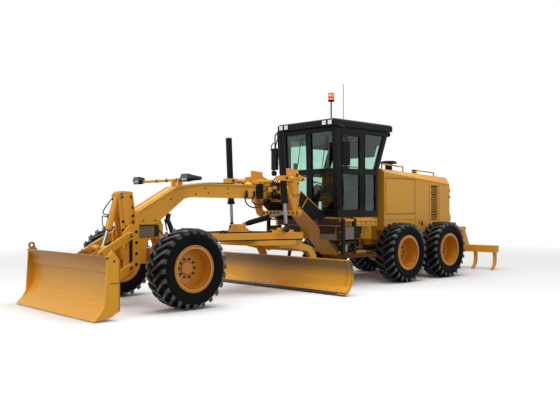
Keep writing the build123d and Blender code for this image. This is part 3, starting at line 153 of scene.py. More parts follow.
def make_sky():
    world = bpy.data.worlds.new("studio")
    world.use_nodes = True
    tree = world.node_tree
    strength = add_node(tree, "ShaderNodeMix", {"Factor": seen_directly(tree), "A": 0.50, "B": 1.0})
    set_inputs(tree, tree.nodes["Background"], {"Color": (1, 1, 1, 1),
                                                "Strength": strength.outputs["Result"]})
    bpy.context.scene.world = world


def soft_box(name, place, aim, size, power):
    data = bpy.data.lights.new(name, "AREA")
    data.shape = "RECTANGLE"
    data.size, data.size_y = size
    data.energy = power
    light = bpy.data.objects.new(name, data)
    light.location = place
    light.rotation_euler = (Vector(aim) - Vector(place)).to_track_quat("-Z", "Y").to_euler()
    bpy.context.scene.collection.objects.link(light)


make_floor()
make_sky()
soft_box("overhead", (1.0, 1.0, 9.0), (0, 0, 0), (11, 7), 900)
soft_box("front", (12.0, 0.5, 4.5), (3, 0, 1), (5, 3), 200)
soft_box("side", (6.0, 9.5, 5.0), (4.5, 0, 0.9), (5, 3), 70)

# ---- paint on the frames -------------------------------------------------------------------------
# Semi-gloss yellow enamel over welded plate. Sprayed paint has a faint waviness and small shifts of
# tone. The same group of nodes makes the surface of every later material that isn't glass or cloth.


def surface_group():
    """Inputs: the pattern's scale and strengths. Outputs: tone factor, roughness shift and normal."""
    group = bpy.data.node_groups.new("surface", "ShaderNodeTree")
    for name, value in (("Scale", 8.0), ("Tone", 0.05), ("Gloss", 0.1), ("Bump", 0.05), ("Distance", 0.002)):
        group.interface.new_socket(name, in_out="INPUT", socket_type="NodeSocketFloat").default_value = value
    for name, kind in (("Tone", "Float"), ("Gloss", "Float"), ("Normal", "Vector")):
        group.interface.new_socket(name, in_out="OUTPUT", socket_type="NodeSocket" + kind)
    given = add_node(group, "NodeGroupInput").outputs
    place = add_node(group, "ShaderNodeTexCoord").outputs["Object"]
    broad = add_node(group, "ShaderNodeTexNoise", {"Vector": place, "Scale": given["Scale"], "Detail": 4.0})
    fine_scale = worked_out(group, "MULTIPLY", given["Scale"], 22.0)
    fine = add_node(group, "ShaderNodeTexNoise", {"Vector": place, "Scale": fine_scale, "Detail": 2.0})
    made = {}
    for noise, name, middle in ((broad, "Tone", 1.0), (fine, "Gloss", 0.0)):
        centred = worked_out(group, "SUBTRACT", noise.outputs["Fac"], 0.5)
        made[name] = worked_out(group, "MULTIPLY_ADD", centred, given[name], middle)
    bump = add_node(group, "ShaderNodeBump", {"Height": fine.outputs["Fac"], "Strength": given["Bump"],
                                              "Distance": given["Distance"]})
    add_node(group, "NodeGroupOutput", {**made, "Normal": bump.outputs["Normal"]})
    return group


SURFACE = surface_group()


def add_dust(tree, colour, dust_colour, top, amount):
    """Fades colour towards dust below the height top."""
    place = add_node(tree, "ShaderNodeTexCoord").outputs["Object"]
    parts = add_node(tree, "ShaderNodeSeparateXYZ", {0: place})
    height = add_node(tree, "ShaderNodeMapRange", {"Value": parts.outputs["Z"], "From Min": 0.0,
                                                   "From Max": top, "To Min": amount, "To Max": 0.0})
    patch = add_node(tree, "ShaderNodeTexNoise", {"Vector": place, "Scale": 3.0, "Detail": 6.0})
    factor = worked_out(tree, "MULTIPLY", height.outputs["Result"], patch.outputs["Fac"])
    return mixed(tree, factor, colour, (*dust_colour, 1))


def add_painted_shade(tree, colour, shade_colour, low, high, half):
    """Paints shade: fades colour to a darker tone between two heights, over the middle of the machine's width
    only.
    """
    place = add_node(tree, "ShaderNodeTexCoord").outputs["Object"]
    parts = add_node(tree, "ShaderNodeSeparateXYZ", {0: place}).outputs
    height = add_node(tree, "ShaderNodeMapRange", {"Value": parts["Z"], "From Min": low, "From Max": high})
    inside = worked_out(tree, "LESS_THAN", worked_out(tree, "ABSOLUTE", parts["Y"]), half)
    return mixed(tree, worked_out(tree, "MULTIPLY", height.outputs["Result"], inside), colour, (*shade_colour, 1))


def finish_material(name, colour, rough, metal=0.0, coat=0.0, scale=8.0, tone=0.06, gloss=0.1, bump=0.05,
                    distance=0.002, specular=0.5, dust=None, painted_shade=None):
    """A Principled material whose colour, roughness and bump vary through the surface group."""
    material, tree, shader = new_material(name)
    surface = add_node(tree, "ShaderNodeGroup", node_tree=SURFACE)
    set_inputs(tree, surface, {"Scale": scale, "Tone": tone, "Gloss": gloss, "Bump": bump,
                               "Distance": distance})
    shade = mixed(tree, 1.0, (*colour, 1), surface.outputs["Tone"], blend_type="MULTIPLY")
    if dust:
        shade = add_dust(tree, shade, *dust)
    if painted_shade:
        shade = add_painted_shade(tree, shade, *painted_shade)
    set_inputs(tree, shader, {
        "Base Color": shade, "Metallic": metal, "Coat Weight": coat, "Coat Roughness": 0.12,
        "Specular IOR Level": specular, "Normal": surface.outputs["Normal"],
        "Roughness": worked_out(tree, "ADD", surface.outputs["Gloss"], rough, use_clamp=True)})
    return material


def dress(material, *nodes):
    """Give CAD nodes their finished material."""
    for node in nodes:
        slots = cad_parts[node].data.materials
        slots.clear()
        slots.append(material)


ENAMEL = {"coat": 0.1, "gloss": 0.12, "bump": 0.035, "distance": 0.004, "specular": 0.3}
YELLOW = finish_material("yellow_enamel", (0.74, 0.345, 0.026), 0.38, scale=3.0, tone=0.06, **ENAMEL)
dress(YELLOW, "front_frame", "rear_frame", "tandem_axle", "front_axle", "lift_saddle",
      "dozer_tower", "drawbar",
      "circle", "tip_bracket", "dozer_lower_arms", "dozer_upper_arms", "dozer_barrel", "ripper_lower_links",
      "ripper_upper_links", "ripper_beam", "hood", "hood_door_left", "hood_door_right", "lean_carrier_left",
      "lean_carrier_right", "knuckle_left", "knuckle_right", "lift_yoke_left", "lift_yoke_right",
      "engine_block")
# The upper parts of the two blades are darkened with painted shade, where their hollow faces turn down from
# the light.
dress(finish_material("dozer_enamel", (0.86, 0.40, 0.022), 0.40, scale=3.0, tone=0.06,
                      painted_shade=((0.40, 0.185, 0.028), 0.26, 0.80, 1.255), **ENAMEL), "dozer_blade")
dress(finish_material("moldboard_enamel", (0.74, 0.345, 0.026), 0.38, scale=2.0, tone=0.16,
                      painted_shade=((0.22, 0.125, 0.040), 0.30, 0.50, 1.9), **ENAMEL), "moldboard")

# ---- black enamel, chrome and machined steel ------------------------------------------------------
# The cab, its doors and most hydraulic barrels are satin black. Rods are hard chrome, ground and
# polished; the drawbar's ball is bare machined steel.
BLACK = finish_material("black_enamel", (0.006, 0.006, 0.0068), 0.40, scale=4.0, tone=0.2,
                        gloss=0.12, bump=0.03, specular=0.12)
CHROME = finish_material("hard_chrome", (0.27, 0.28, 0.30), 0.22, metal=1.0, scale=9.0, tone=0.05, gloss=0.1,
                         bump=0.01)
STEEL = finish_material("machined_steel", (0.32, 0.32, 0.33), 0.35, metal=1.0, scale=12.0, tone=0.1)
dress(BLACK, "cab", "cab_roof", "operator_station", "door_left", "door_right", "lift_barrel_left",
      "lift_barrel_right", "shift_barrel", "tip_barrel", "artic_barrel_left", "artic_barrel_right",
      "ripper_barrel")
dress(CHROME, "lift_rod_left", "lift_rod_right", "shift_rod", "tip_rod", "artic_rod_left", "artic_rod_right",
      "ripper_rod", "dozer_rod")
dress(STEEL, "drawbar_ball")

# ---- tyres ---------------------------------------------------------------------------------------
# Traction tyres: a smooth bulged side wall with a few raised rings, and two rows of slanting bars that
# meet in a staggered chevron and wrap over the shoulder. The bars' faces are worn glossier than the rest.
RUBBER = finish_material("tread_rubber", (0.0045, 0.0045, 0.005), 0.66, scale=14.0, tone=0.25,
                         gloss=0.18, bump=0.25,
                         distance=0.003, specular=0.06, dust=((0.12, 0.11, 0.10), 0.4, 0.02))
BAR_RUBBER = finish_material("bar_rubber", (0.012, 0.012, 0.013), 0.36, scale=18.0, tone=0.25,
                             gloss=0.25, bump=0.25, distance=0.003, specular=0.6)
TYRE_OUTER, TYRE_HALF, TREAD_BASE = 0.610, 0.222, 0.566
SIDE_PROFILE = [(0.180, 0.318), (0.182, 0.360), (0.196, 0.385), (0.2, 0.392), (0.207, 0.394), (0.214, 0.42),
                (0.220, 0.455), (0.221, 0.480), (0.2195, 0.4825), (0.2195, 0.492), (0.2215, 0.4945),
                (0.216, 0.525), (0.204, 0.548), (0.185, 0.561), (0.14, TREAD_BASE), (0.0, TREAD_BASE + 0.006)]
TYRE_STEPS, BAR_COUNT, BAR_STEPS = 96, 24, 7
CROWN_EDGE, SHOULDER = 0.15, 0.17


def link_object(name, mesh, materials):
    for material in materials:
        mesh.materials.append(material)
    piece = bpy.data.objects.new(name, mesh)
    bpy.context.scene.collection.objects.link(piece)
    return piece


def shade_by_angle(mesh, degrees):
    mesh.shade_smooth()
    shaped = bmesh.new()
    shaped.from_mesh(mesh)
    for edge in shaped.edges:
        if len(edge.link_faces) == 2 and edge.calc_face_angle() > math.radians(degrees):
            edge.smooth = False
    shaped.to_mesh(mesh)
    shaped.free()


def finish_mesh(name, shape, angle=30):
    bmesh.ops.recalc_face_normals(shape, faces=shape.faces)
    mesh = bpy.data.meshes.new(name)
    shape.to_mesh(mesh)
    shape.free()
    shade_by_angle(mesh, angle)
    return mesh


def skin(shape, rings, ends=True):
    """Faces from each ring of points to the next, and over both ends."""
    for a, b in zip(rings, rings[1:]):
        for k in range(len(a)):
            n = (k + 1) % len(a)
            shape.faces.new((a[k], a[n], b[n], b[k]))
    if ends:
        shape.faces.new(rings[0])
        shape.faces.new(reversed(rings[-1]))


def tread_bar(shape, side, start, pitch):
    """One slanting bar: runs from the middle outwards and back, then down over the shoulder."""
    rows = []
    for step in range(BAR_STEPS + 1):
        t = step / BAR_STEPS
        across = -0.018 + t * 0.240
        lead = 0.16 * (t ** 1.15)
        top = TYRE_OUTER - (0.0 if across < CROWN_EDGE else (across - CROWN_EDGE) ** 2 * 3.4)
        base = TREAD_BASE - 0.012 - (0.0 if across < SHOULDER else (across - SHOULDER) * 0.55)
        width = pitch * (0.205 + 0.05 * t)
        crown = width * 0.72
        across = min(across, TYRE_HALF - 0.006)
        row = []
        for offset, radius in ((-width, base), (-crown, top), (crown, top), (width, base)):
            angle = start + lead / TYRE_OUTER + offset
            row.append(shape.verts.new((radius * math.cos(angle), side * across, radius * math.sin(angle))))
        rows.append(row)
    faces = [(a[k], a[k + 1], b[k + 1], b[k]) for a, b in zip(rows, rows[1:]) for k in range(3)]
    for face in faces + [rows[0], rows[-1][::-1]]:
        shape.faces.new(face).material_index = 1


def tyre_mesh():
    shape = bmesh.new()
    profile = SIDE_PROFILE + [(-a, r) for a, r in reversed(SIDE_PROFILE[:-1])]
    rings = []
    for k in range(TYRE_STEPS):
        angle = 2 * math.pi * k / TYRE_STEPS
        rings.append([shape.verts.new((r * math.cos(angle), a, r * math.sin(angle))) for a, r in profile])
    skin(shape, rings + rings[:1], ends=False)
    pitch = 2 * math.pi / BAR_COUNT
    for k in range(BAR_COUNT):
        tread_bar(shape, 1, k * pitch, pitch)
        tread_bar(shape, -1, (k + 0.5) * pitch, pitch)
    return finish_mesh("tyre", shape, 32)


TYRE_MESH = tyre_mesh()
WHEELS = [f"{axle}_{name}" for axle in ("front", "tandem_front", "tandem_rear") for name in ("left", "right")]


def wheel_middle(name):
    low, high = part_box(f"tyre_{name}")
    return (low + high) / 2


for order, name in enumerate(WHEELS):
    mesh = TYRE_MESH.copy()
    # The bars point forward over the top on both sides of the machine.
    mesh.transform(Matrix.Translation(wheel_middle(name)) @ Matrix.Rotation(0.05 * order, 4, "Y"))
    tyre = link_object(f"tread_{name}", mesh, [RUBBER, BAR_RUBBER])
    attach(tyre, f"wheel_{name}")
    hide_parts(f"tyre_{name}")

# ---- rims ----------------------------------------------------------------------------------------
# Pressed steel rims, deeply dished, with a ring of dark wheel nuts round a domed hub cap. A dark ring of
# painted shade edges the dish, and a second one lies where the rim meets the tyre.
RIM_YELLOW = finish_material("rim_enamel", (0.68, 0.27, 0.012), 0.34, coat=0.15, scale=5.0,
                             tone=0.08, gloss=0.12)
NUT_BLACK = finish_material("wheel_nut", (0.035, 0.042, 0.065), 0.4, metal=0.6, scale=20.0)
# Dark strips laid along seams, slots, grooves and rim rings are painted shade.
SEAM_SHADE = finish_material("painted_seam_shade", (0.05, 0.028, 0.008), 0.6, scale=30.0, tone=0.3, specular=0.1)
NUT_COUNT, NUT_CIRCLE, NUT_R, NUT_H = 10, 0.142, 0.0205, 0.03
RIM_FACE, FRONT_DISH, REAR_DISH = 0.200, 0.210, 0.260


def open_tree(name, inputs):
    """A Geometry Nodes tree with these inputs and a material's; returns it and what it is given."""
    tree = bpy.data.node_groups.new(name, "GeometryNodeTree")
    for key, kind, value in inputs:
        tree.interface.new_socket(key, in_out="INPUT", socket_type="NodeSocket" + kind).default_value = value
    tree.interface.new_socket("Material", in_out="INPUT", socket_type="NodeSocketMaterial")
    tree.interface.new_socket("Geometry", in_out="OUTPUT", socket_type="NodeSocketGeometry")
    return tree, add_node(tree, "NodeGroupInput").outputs


def close_tree(tree, given, inputs):
    """Sets copies of a part on points, makes them real and paints them."""
    copies = add_node(tree, "GeometryNodeInstanceOnPoints", inputs).outputs["Instances"]
    real = add_node(tree, "GeometryNodeRealizeInstances", {"Geometry": copies}).outputs["Geometry"]
    painted = add_node(tree, "GeometryNodeSetMaterial", {"Geometry": real, "Material": given["Material"]})
    add_node(tree, "NodeGroupOutput", {"Geometry": painted.outputs["Geometry"]})
    return tree


def wheel_nuts_tree():
    """Hexagon nuts on a pitch circle, made once and set round the hub."""
    tree, given = open_tree("wheel_nuts", (("Count", "Int", NUT_COUNT), ("Circle", "Float", NUT_CIRCLE),
                                           ("Radius", "Float", NUT_R), ("Height", "Float", NUT_H)))
    ring = add_node(tree, "GeometryNodeMeshCircle", {"Vertices": given["Count"], "Radius": given["Circle"]})
    nut = add_node(tree, "GeometryNodeMeshCone", {"Vertices": 6, "Radius Bottom": given["Radius"],
                                                  "Radius Top": worked_out(tree, "MULTIPLY",
                                                                           given["Radius"], 0.82),
                                                  "Depth": given["Height"]})
    return close_tree(tree, given, {"Points": ring.outputs["Mesh"], "Instance": nut.outputs["Mesh"]})


def grown(tree, name, **values):
    """The mesh that a Geometry Nodes tree makes with these inputs, as plain data."""
    seed = bpy.data.objects.new(name + "_seed", bpy.data.meshes.new(name + "_seed"))
    bpy.context.scene.collection.objects.link(seed)
    modifier = seed.modifiers.new("tree", "NODES")
    modifier.node_group = tree
    for item in tree.interface.items_tree:
        if item.in_out == "INPUT" and item.name in values:
            modifier[item.identifier] = values[item.name]
    seed.update_tag()
    evaluated = seed.evaluated_get(bpy.context.evaluated_depsgraph_get())
    mesh = bpy.data.meshes.new_from_object(evaluated)
    seed.modifiers.remove(modifier)
    bpy.data.objects.remove(seed)
    return mesh


def join_part(shape, part, bevel=0.0):
    bmesh.ops.recalc_face_normals(part, faces=part.faces)
    if bevel:
        bmesh.ops.bevel(part, geom=part.edges[:], offset=bevel, segments=1, affect="EDGES",
                        clamp_overlap=True)
    mesh = bpy.data.meshes.new("part")
    part.to_mesh(mesh)
    part.free()
    shape.from_mesh(mesh)
    bpy.data.meshes.remove(mesh)


def hoop(shape, centre, way, radius, tube, sides=40):
    """A closed round bar: centre is (station, across, height), way its axis."""
    turn = Vector(way).to_track_quat("Z", "Y").to_matrix()
    middle = Vector((x_at(centre[0]), centre[1], centre[2]))
    part = bmesh.new()
    rings = []
    for k in range(sides):
        a = 2 * math.pi * k / sides
        rings.append([part.verts.new(middle + turn @ Vector(((radius + tube * math.cos(b)) * math.cos(a),
                                                             (radius + tube * math.cos(b)) * math.sin(a),
                                                             tube * math.sin(b))))
                      for b in (math.pi * j / 3 for j in range(6))])
    skin(part, rings + rings[:1], ends=False)
    join_part(shape, part)


def add_piece(name, shape, material, body, angle=35):
    piece = link_object(name, finish_mesh(name, shape, angle), [material])
    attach(piece, body)
    return piece


NUTS_TREE = wheel_nuts_tree()
for name in WHEELS:
    dress(RIM_YELLOW, f"rim_{name}")
    side = 1 if name.endswith("left") else -1
    disc = RIM_FACE - (FRONT_DISH if name.startswith("front") else REAR_DISH)
    middle = wheel_middle(name)
    mesh = grown(NUTS_TREE, "nuts", Count=NUT_COUNT, Circle=NUT_CIRCLE, Material=NUT_BLACK)
    facing = Matrix.Rotation(-side * math.pi / 2, 4, "X")
    mesh.transform(Matrix.Translation(middle + Vector((0, side * disc, 0))) @ facing)
    nuts = link_object(f"wheel_nuts_{name}", mesh, [])
    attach(nuts, f"wheel_{name}")
    shape = bmesh.new()
    station = middle.x - TANDEM_MIDDLE
    # Two rings of painted shade: one in the dish's mouth, one where the rim meets the tyre.
    for face, radius, tube in ((0.1965, 0.2965, 0.0055), (0.1985, 0.338, 0.0040)):
        hoop(shape, (station, middle.y + side * face, middle.z), (0, 1, 0), radius, tube, 56)
    add_piece(f"rim_shade_ring_{name}", shape, SEAM_SHADE, f"wheel_{name}")

# ---- cab glass -----------------------------------------------------------------------------------
# Green-tinted safety glass, one pane to each opening, set in the middle of its frame.


def glass_material(name, colour):
    material, tree, shader = new_material(name)
    set_inputs(tree, shader, {"Base Color": colour, "Roughness": 0.03, "Transmission Weight": 1.0,
                              "IOR": 1.40})
    return material


GLASS = glass_material("tinted_glass", (0.60, 0.83, 0.73, 1))
GLASS_T = 0.008
CAB_HALF = 0.740
SIDES = ((1, "left"), (-1, "right"))
DOOR_X, DOOR_Z = (1.640, 2.290), (1.400, 3.010)
REAR_SIDE_PANES = ([(1.560, 2.290), (1.560, 3.010), (0.930, 3.010), (1.215, 2.290)],
                   [(1.215, 1.460), (1.560, 1.460), (1.560, 2.200), (1.215, 2.200)])
SCREEN_WIDTHS, SCREEN_HEIGHTS = ((-0.650, -0.060), (0.060, 0.650)), ((2.290, 3.020), (1.480, 2.200))


def windscreen_x(z):
    """Station of the windscreen's outer face, which leans forward towards its top."""
    return 2.365 + (z - 1.345) * (0.065 / 1.765)


def door_panes():
    """Upper and lower pane of a door, as (station, height) corners."""
    x0, x1 = DOOR_X[0] + 0.070, DOOR_X[1] - 0.060
    return [[(x0, z0), (x1, z0), (x1, z1), (x0, z1)]
            for z0, z1 in ((2.290, DOOR_Z[1] - 0.060), (DOOR_Z[0] + 0.080, 2.190))]


def slab(shape, corners, thickness_axis, thickness):
    """A thin closed plate on corners (station, across, height), thickened both ways along an axis."""
    step = Vector(thickness_axis) * (thickness / 2)
    middle = [Vector((x_at(a), b, c)) for a, b, c in corners]
    near = [shape.verts.new(c + step) for c in middle]
    far = [shape.verts.new(c - step) for c in middle]
    shape.faces.new(near)
    shape.faces.new(reversed(far))
    for k in range(len(near)):
        n = (k + 1) % len(near)
        shape.faces.new((near[n], near[k], far[k], far[n]))


def screen_slab(shape, inset, y0, y1, z0, z1, thickness):
    """A sheet that leans as the windscreen does, set back from its face."""
    x0, x1 = windscreen_x(z0) - inset, windscreen_x(z1) - inset
    slab(shape, [(x0, y0, z0), (x0, y1, z0), (x1, y1, z1), (x1, y0, z1)], (1, 0, 0), thickness)


def side_pane(shape, side, points):
    slab(shape, [(x, side * (CAB_HALF - 0.020), z) for x, z in points], (0, 1, 0), GLASS_T)


def make_cab_glass():
    shape = bmesh.new()
    for side in (1, -1):
        for points in REAR_SIDE_PANES:
            side_pane(shape, side, points)
    for y0, y1 in SCREEN_WIDTHS:
        for z0, z1 in SCREEN_HEIGHTS:
            screen_slab(shape, 0.02, y0, y1, z0, z1, GLASS_T)
    slab(shape, [(1.120, -0.62, 2.33), (1.120, 0.62, 2.33), (0.845, 0.62, 3.0),
                 (0.845, -0.62, 3.0)], (1, 0, 0),
         GLASS_T)
    return shape


add_piece("cab_glass", make_cab_glass(), GLASS, "front", 30)
for side, name in SIDES:
    shape = bmesh.new()
    for points in door_panes():
        side_pane(shape, side, points)
    add_piece(f"door_glass_{name}", shape, GLASS, f"door_{name}", 30)

# ---- cab interior --------------------------------------------------------------------------------
# A suspension seat in dark woven cloth on a bellows stand, two moulded control pods beside it and a
# steering column in front, all bolted to a rubber-matted floor.
PLASTIC = finish_material("moulded_plastic", (0.016, 0.017, 0.018), 0.55, scale=30.0, tone=0.2,
                          gloss=0.15, bump=0.2, distance=0.001, specular=0.25)


def plate(shape, outline, axis, low, high, bevel=0.004):
    """A plate cut to an outline and given its thickness along an axis, with its edges eased.
    The outline's pairs are (station, height) square to y, (across, height) to x, (station, across) to z."""
    place = {"x": lambda a, b, t: (x_at(t), a, b), "y": lambda a, b, t: (x_at(a), t, b),
             "z": lambda a, b, t: (x_at(a), b, t)}[axis]
    part = bmesh.new()
    near = [part.verts.new(place(a, b, low)) for a, b in outline]
    far = [part.verts.new(place(a, b, high)) for a, b in outline]
    part.faces.new(near)
    part.faces.new(reversed(far))
    for k in range(len(near)):
        n = (k + 1) % len(near)
        part.faces.new((near[n], near[k], far[k], far[n]))
    join_part(shape, part, bevel)


def block(shape, x, y, z, bevel=0.006):
    plate(shape, [(x[0], z[0]), (x[1], z[0]), (x[1], z[1]), (x[0], z[1])], "y", y[0], y[1], bevel)


def span(side, near, far):
    """The stretch between two distances from the middle, on one side of the machine."""
    return sorted((side * near, side * far))


def turned(shape, base, way, profile, sides=24):
    """A turned part: (distance along the axis, radius) pairs carried round an axis from base."""
    turn = Vector(way).to_track_quat("Z", "Y").to_matrix()
    base = Vector((x_at(base[0]), base[1], base[2]))
    part = bmesh.new()
    rings = []
    for d, r in profile:
        rings.append([part.verts.new(base + turn @ Vector((r * math.cos(2 * math.pi * k / sides),
                                                           r * math.sin(2 * math.pi * k / sides), d)))
                      for k in range(sides)])
    skin(part, rings)
    join_part(shape, part)


def bent_bar(shape, points, radius, rounding=3, sides=10):
    """A round bar or pipe through points (station, across, height), its corners cut back smoothly."""
    path = [Vector((x_at(a), b, c)) for a, b, c in points]
    for _ in range(rounding):
        cut = [path[0]]
        for a, b in zip(path, path[1:]):
            cut += [a.lerp(b, 0.25), a.lerp(b, 0.75)]
        path = cut + [path[-1]]
    part = bmesh.new()
    rings = []
    side = None
    for k, point in enumerate(path):
        ahead = (path[min(k + 1, len(path) - 1)] - path[max(k - 1, 0)]).normalized()
        if side is None:
            side = ahead.orthogonal().normalized()
        side = (side - ahead * side.dot(ahead)).normalized()
        other = ahead.cross(side)
        rings.append([part.verts.new(point + (side * math.cos(2 * math.pi * j / sides)
                                              + other * math.sin(2 * math.pi * j / sides)) * radius)
                      for j in range(sides)])
    skin(part, rings)
    join_part(shape, part)


FLOOR_TOP, BELLOWS, POD_Y = 1.397, 9, 0.325


def make_seat_stand():
    shape = bmesh.new()
    block(shape, (1.50, 1.94), (-0.19, 0.19), (FLOOR_TOP, 1.44))
    part = bmesh.new()
    middle = x_at(1.72)
    rings = []
    for k in range(BELLOWS + 1):
        z = 1.44 + 0.22 * k / BELLOWS
        grow = 0.155 if k % 2 else 0.135
        rings.append([part.verts.new((middle + a * grow * 1.15, b * grow, z)) for a, b in
                      ((1, 1), (-1, 1), (-1, -1), (1, -1))])
    skin(part, rings)
    join_part(shape, part)
    block(shape, (1.48, 1.97), (-0.235, 0.235), (1.66, 1.715), 0.015)
    # shell of the backrest
    plate(shape, [(1.455, 1.72), (1.50, 1.72), (1.435, 2.40), (1.405, 2.40)], "y", -0.225, 0.225, 0.012)
    return shape


def make_pods():
    shape = bmesh.new()
    for side in (1, -1):
        plate(shape, [(1.66, 1.66), (1.98, 1.66), (2.08, 1.80), (2.08, 1.90), (1.98, 1.95),
                      (1.66, 1.90)], "y",
              *span(side, 0.275, 0.375), 0.016)
        block(shape, (1.66, 1.78), span(side, 0.20, 0.29), (1.67, 1.71))
        turned(shape, (2.02, side * POD_Y, 1.935), (0, 0, 1),
               [(0, 0.040), (0.012, 0.034), (0.03, 0.016), (0.07, 0.012), (0.09, 0.020), (0.135, 0.023),
                (0.158, 0.014)], 14)
        for x in (1.72, 1.78, 1.84, 1.90):
            turned(shape, (x, side * POD_Y, 1.92), (0, 0, 1), [(0, 0.010), (0.02, 0.010), (0.026, 0.006)], 10)
    # steering column, its binnacle and wheel
    plate(shape, [(2.19, FLOOR_TOP), (2.29, FLOOR_TOP), (2.25, 1.90), (2.16, 1.90)], "y", -0.07, 0.07, 0.015)
    plate(shape, [(2.13, 1.86), (2.26, 1.86), (2.28, 1.96), (2.16, 1.985)], "y", -0.13, 0.13, 0.018)
    turned(shape, (2.19, 0, 1.93), (-0.45, 0, 1), [(0, 0.03), (0.05, 0.02), (0.06, 0.035), (0.075, 0.03)], 14)
    centre, tilt = Vector((2.165, 0, 1.99)), Matrix.Rotation(-0.42, 3, "Y")
    ring = [centre + tilt @ Vector((0.155 * math.cos(math.pi * k / 8), 0.155 * math.sin(math.pi * k / 8),
                                    0)) for k in range(17)]
    bent_bar(shape, [tuple(p) for p in ring], 0.013, 1, 8)
    for k in (0, 5, 11):
        bent_bar(shape, [tuple(centre), tuple(ring[k])], 0.009, 0, 6)
    # pedals, switch panel on the right post and the heater duct along the rear wall
    for y in (-0.12, 0.12):
        plate(shape, [(2.20, 1.42), (2.215, 1.415), (2.25, 1.50), (2.235, 1.505)], "y", y - 0.035,
              y + 0.035, 0.003)
    block(shape, (2.12, 2.20), (-0.66, -0.60), (2.30, 2.46), 0.01)
    block(shape, (1.21, 1.33), (-0.60, 0.60), (FLOOR_TOP, 1.62), 0.02)
    block(shape, (1.23, 1.40), (-0.45, 0.45), (1.62, 1.95), 0.03)
    block(shape, (1.25, 2.25), (-0.685, 0.685), (FLOOR_TOP - 0.004, FLOOR_TOP + 0.008), 0.002)
    return shape


add_piece("seat_stand", make_seat_stand(), PLASTIC, "front")
add_piece("controls", make_pods(), PLASTIC, "front")

# ---- seat cushions -------------------------------------------------------------------------------
# Foam pads in a coarse dark cloth. Each starts as a slightly small pad that pressure swells, so its sides
# pull in between the corners; the sewn channels come afterwards.


def cloth_material():
    """Two sets of threads crossing, paler and rougher where they stand up."""
    material, tree, shader = new_material("seat_cloth")
    place = add_node(tree, "ShaderNodeTexCoord").outputs["Object"]
    wave = {"Vector": place, "Scale": 90.0, "Distortion": 0.8, "Detail": 1.0}
    threads = [add_node(tree, "ShaderNodeTexWave", wave, bands_direction=way).outputs["Fac"]
               for way in ("X", "Z")]
    weave = worked_out(tree, "MAXIMUM", *threads)
    bump = add_node(tree, "ShaderNodeBump", {"Height": weave, "Strength": 0.4, "Distance": 0.001})
    set_inputs(tree, shader, {
        "Base Color": mixed(tree, weave, (0.010, 0.011, 0.013, 1), (0.030, 0.031, 0.034, 1)),
        "Roughness": worked_out(tree, "MULTIPLY_ADD", weave, 0.12, 0.82), "Normal": bump.outputs["Normal"],
        "Sheen Weight": 0.35, "Sheen Roughness": 0.5, "Specular IOR Level": 0.2})
    return material


SEAT_CLOTH = cloth_material()


def pad_block(outline, half):
    """The pad before it swells: an outline of (station, height) pairs and a half width."""
    shape = bmesh.new()
    plate(shape, outline, "y", -half, half, 0.022)
    mesh = bpy.data.meshes.new("pad")
    shape.to_mesh(mesh)
    shape.free()
    return mesh


def swollen(name, mesh, cap, pressure=4.0):
    """The pad remeshed and puffed out as cloth, no point moving further than cap; returns plain data."""
    pad = bpy.data.objects.new(name, mesh)
    bpy.context.scene.collection.objects.link(pad)
    remesh = pad.modifiers.new("remesh", "REMESH")
    remesh.mode = "VOXEL"
    remesh.voxel_size = 0.009
    evaluated = pad.evaluated_get(bpy.context.evaluated_depsgraph_get())
    even = bpy.data.meshes.new_from_object(evaluated)
    pad.modifiers.remove(remesh)
    pad.data = even
    start = [v.co.copy() for v in even.vertices]
    cloth = pad.modifiers.new("cloth", "CLOTH")
    cloth.settings.use_pressure = True
    cloth.settings.uniform_pressure_force = pressure
    cloth.settings.effector_weights.gravity = 0.0
    cloth.settings.quality = 4
    cloth.point_cache.frame_start, cloth.point_cache.frame_end = 1, 20
    for step in range(1, 21):
        bpy.context.scene.frame_set(step)
    evaluated = pad.evaluated_get(bpy.context.evaluated_depsgraph_get())
    blown = [v.co.copy() for v in evaluated.data.vertices]
    pad.modifiers.remove(cloth)
    bpy.context.scene.frame_set(1)
    for vertex, before, after in zip(even.vertices, start, blown):
        shift = after - before
        vertex.co = before + (shift if shift.length < cap else shift.normalized() * cap)
    bpy.data.objects.remove(pad)
    return even


def sew_channels(mesh, axis, places, depth, width):
    """Press sewn channels into the pad, each a groove across it at a place along the axis."""
    mesh.calc_loop_triangles()
    normals = [v.normal.copy() for v in mesh.vertices]
    for vertex, normal in zip(mesh.vertices, normals):
        for place in places:
            away = (vertex.co[axis] - place) / width
            if abs(away) < 2.5:
                vertex.co -= normal * depth * math.exp(-away * away)
    mesh.update()


CUSHION = [(1.515, 1.722), (1.945, 1.722), (1.965, 1.770), (1.940, 1.812), (1.700, 1.822), (1.530, 1.832)]
BACKREST = [(1.500, 1.850), (1.560, 1.850), (1.580, 1.960), (1.545, 2.160), (1.525, 2.360), (1.490, 2.400),
            (1.440, 2.390)]
HEADREST = [(1.440, 2.440), (1.495, 2.440), (1.490, 2.540), (1.435, 2.545)]
for name, outline, half, cap, seams in (("seat_cushion", CUSHION, 0.232, 0.012,
                                         (0, (x_at(1.66), x_at(1.80)))),
                                        ("seat_back", BACKREST, 0.218, 0.012, (2, (2.02, 2.20))),
                                        ("seat_headrest", HEADREST, 0.120, 0.008, (2, ()))):
    mesh = swollen(name, pad_block(outline, half), cap)
    sew_channels(mesh, seams[0], seams[1], 0.007, 0.009)
    sew_channels(mesh, 1, (-0.15, 0.15) if half > 0.2 else (), 0.007, 0.009)
    mesh.shade_smooth()
    pad = link_object(name, mesh, [SEAT_CLOTH])
    smooth = pad.modifiers.new("smooth", "SUBSURF")
    smooth.levels = smooth.render_levels = 1
    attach(pad, "front")
    if name == "seat_cushion":
        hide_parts("operator_station")

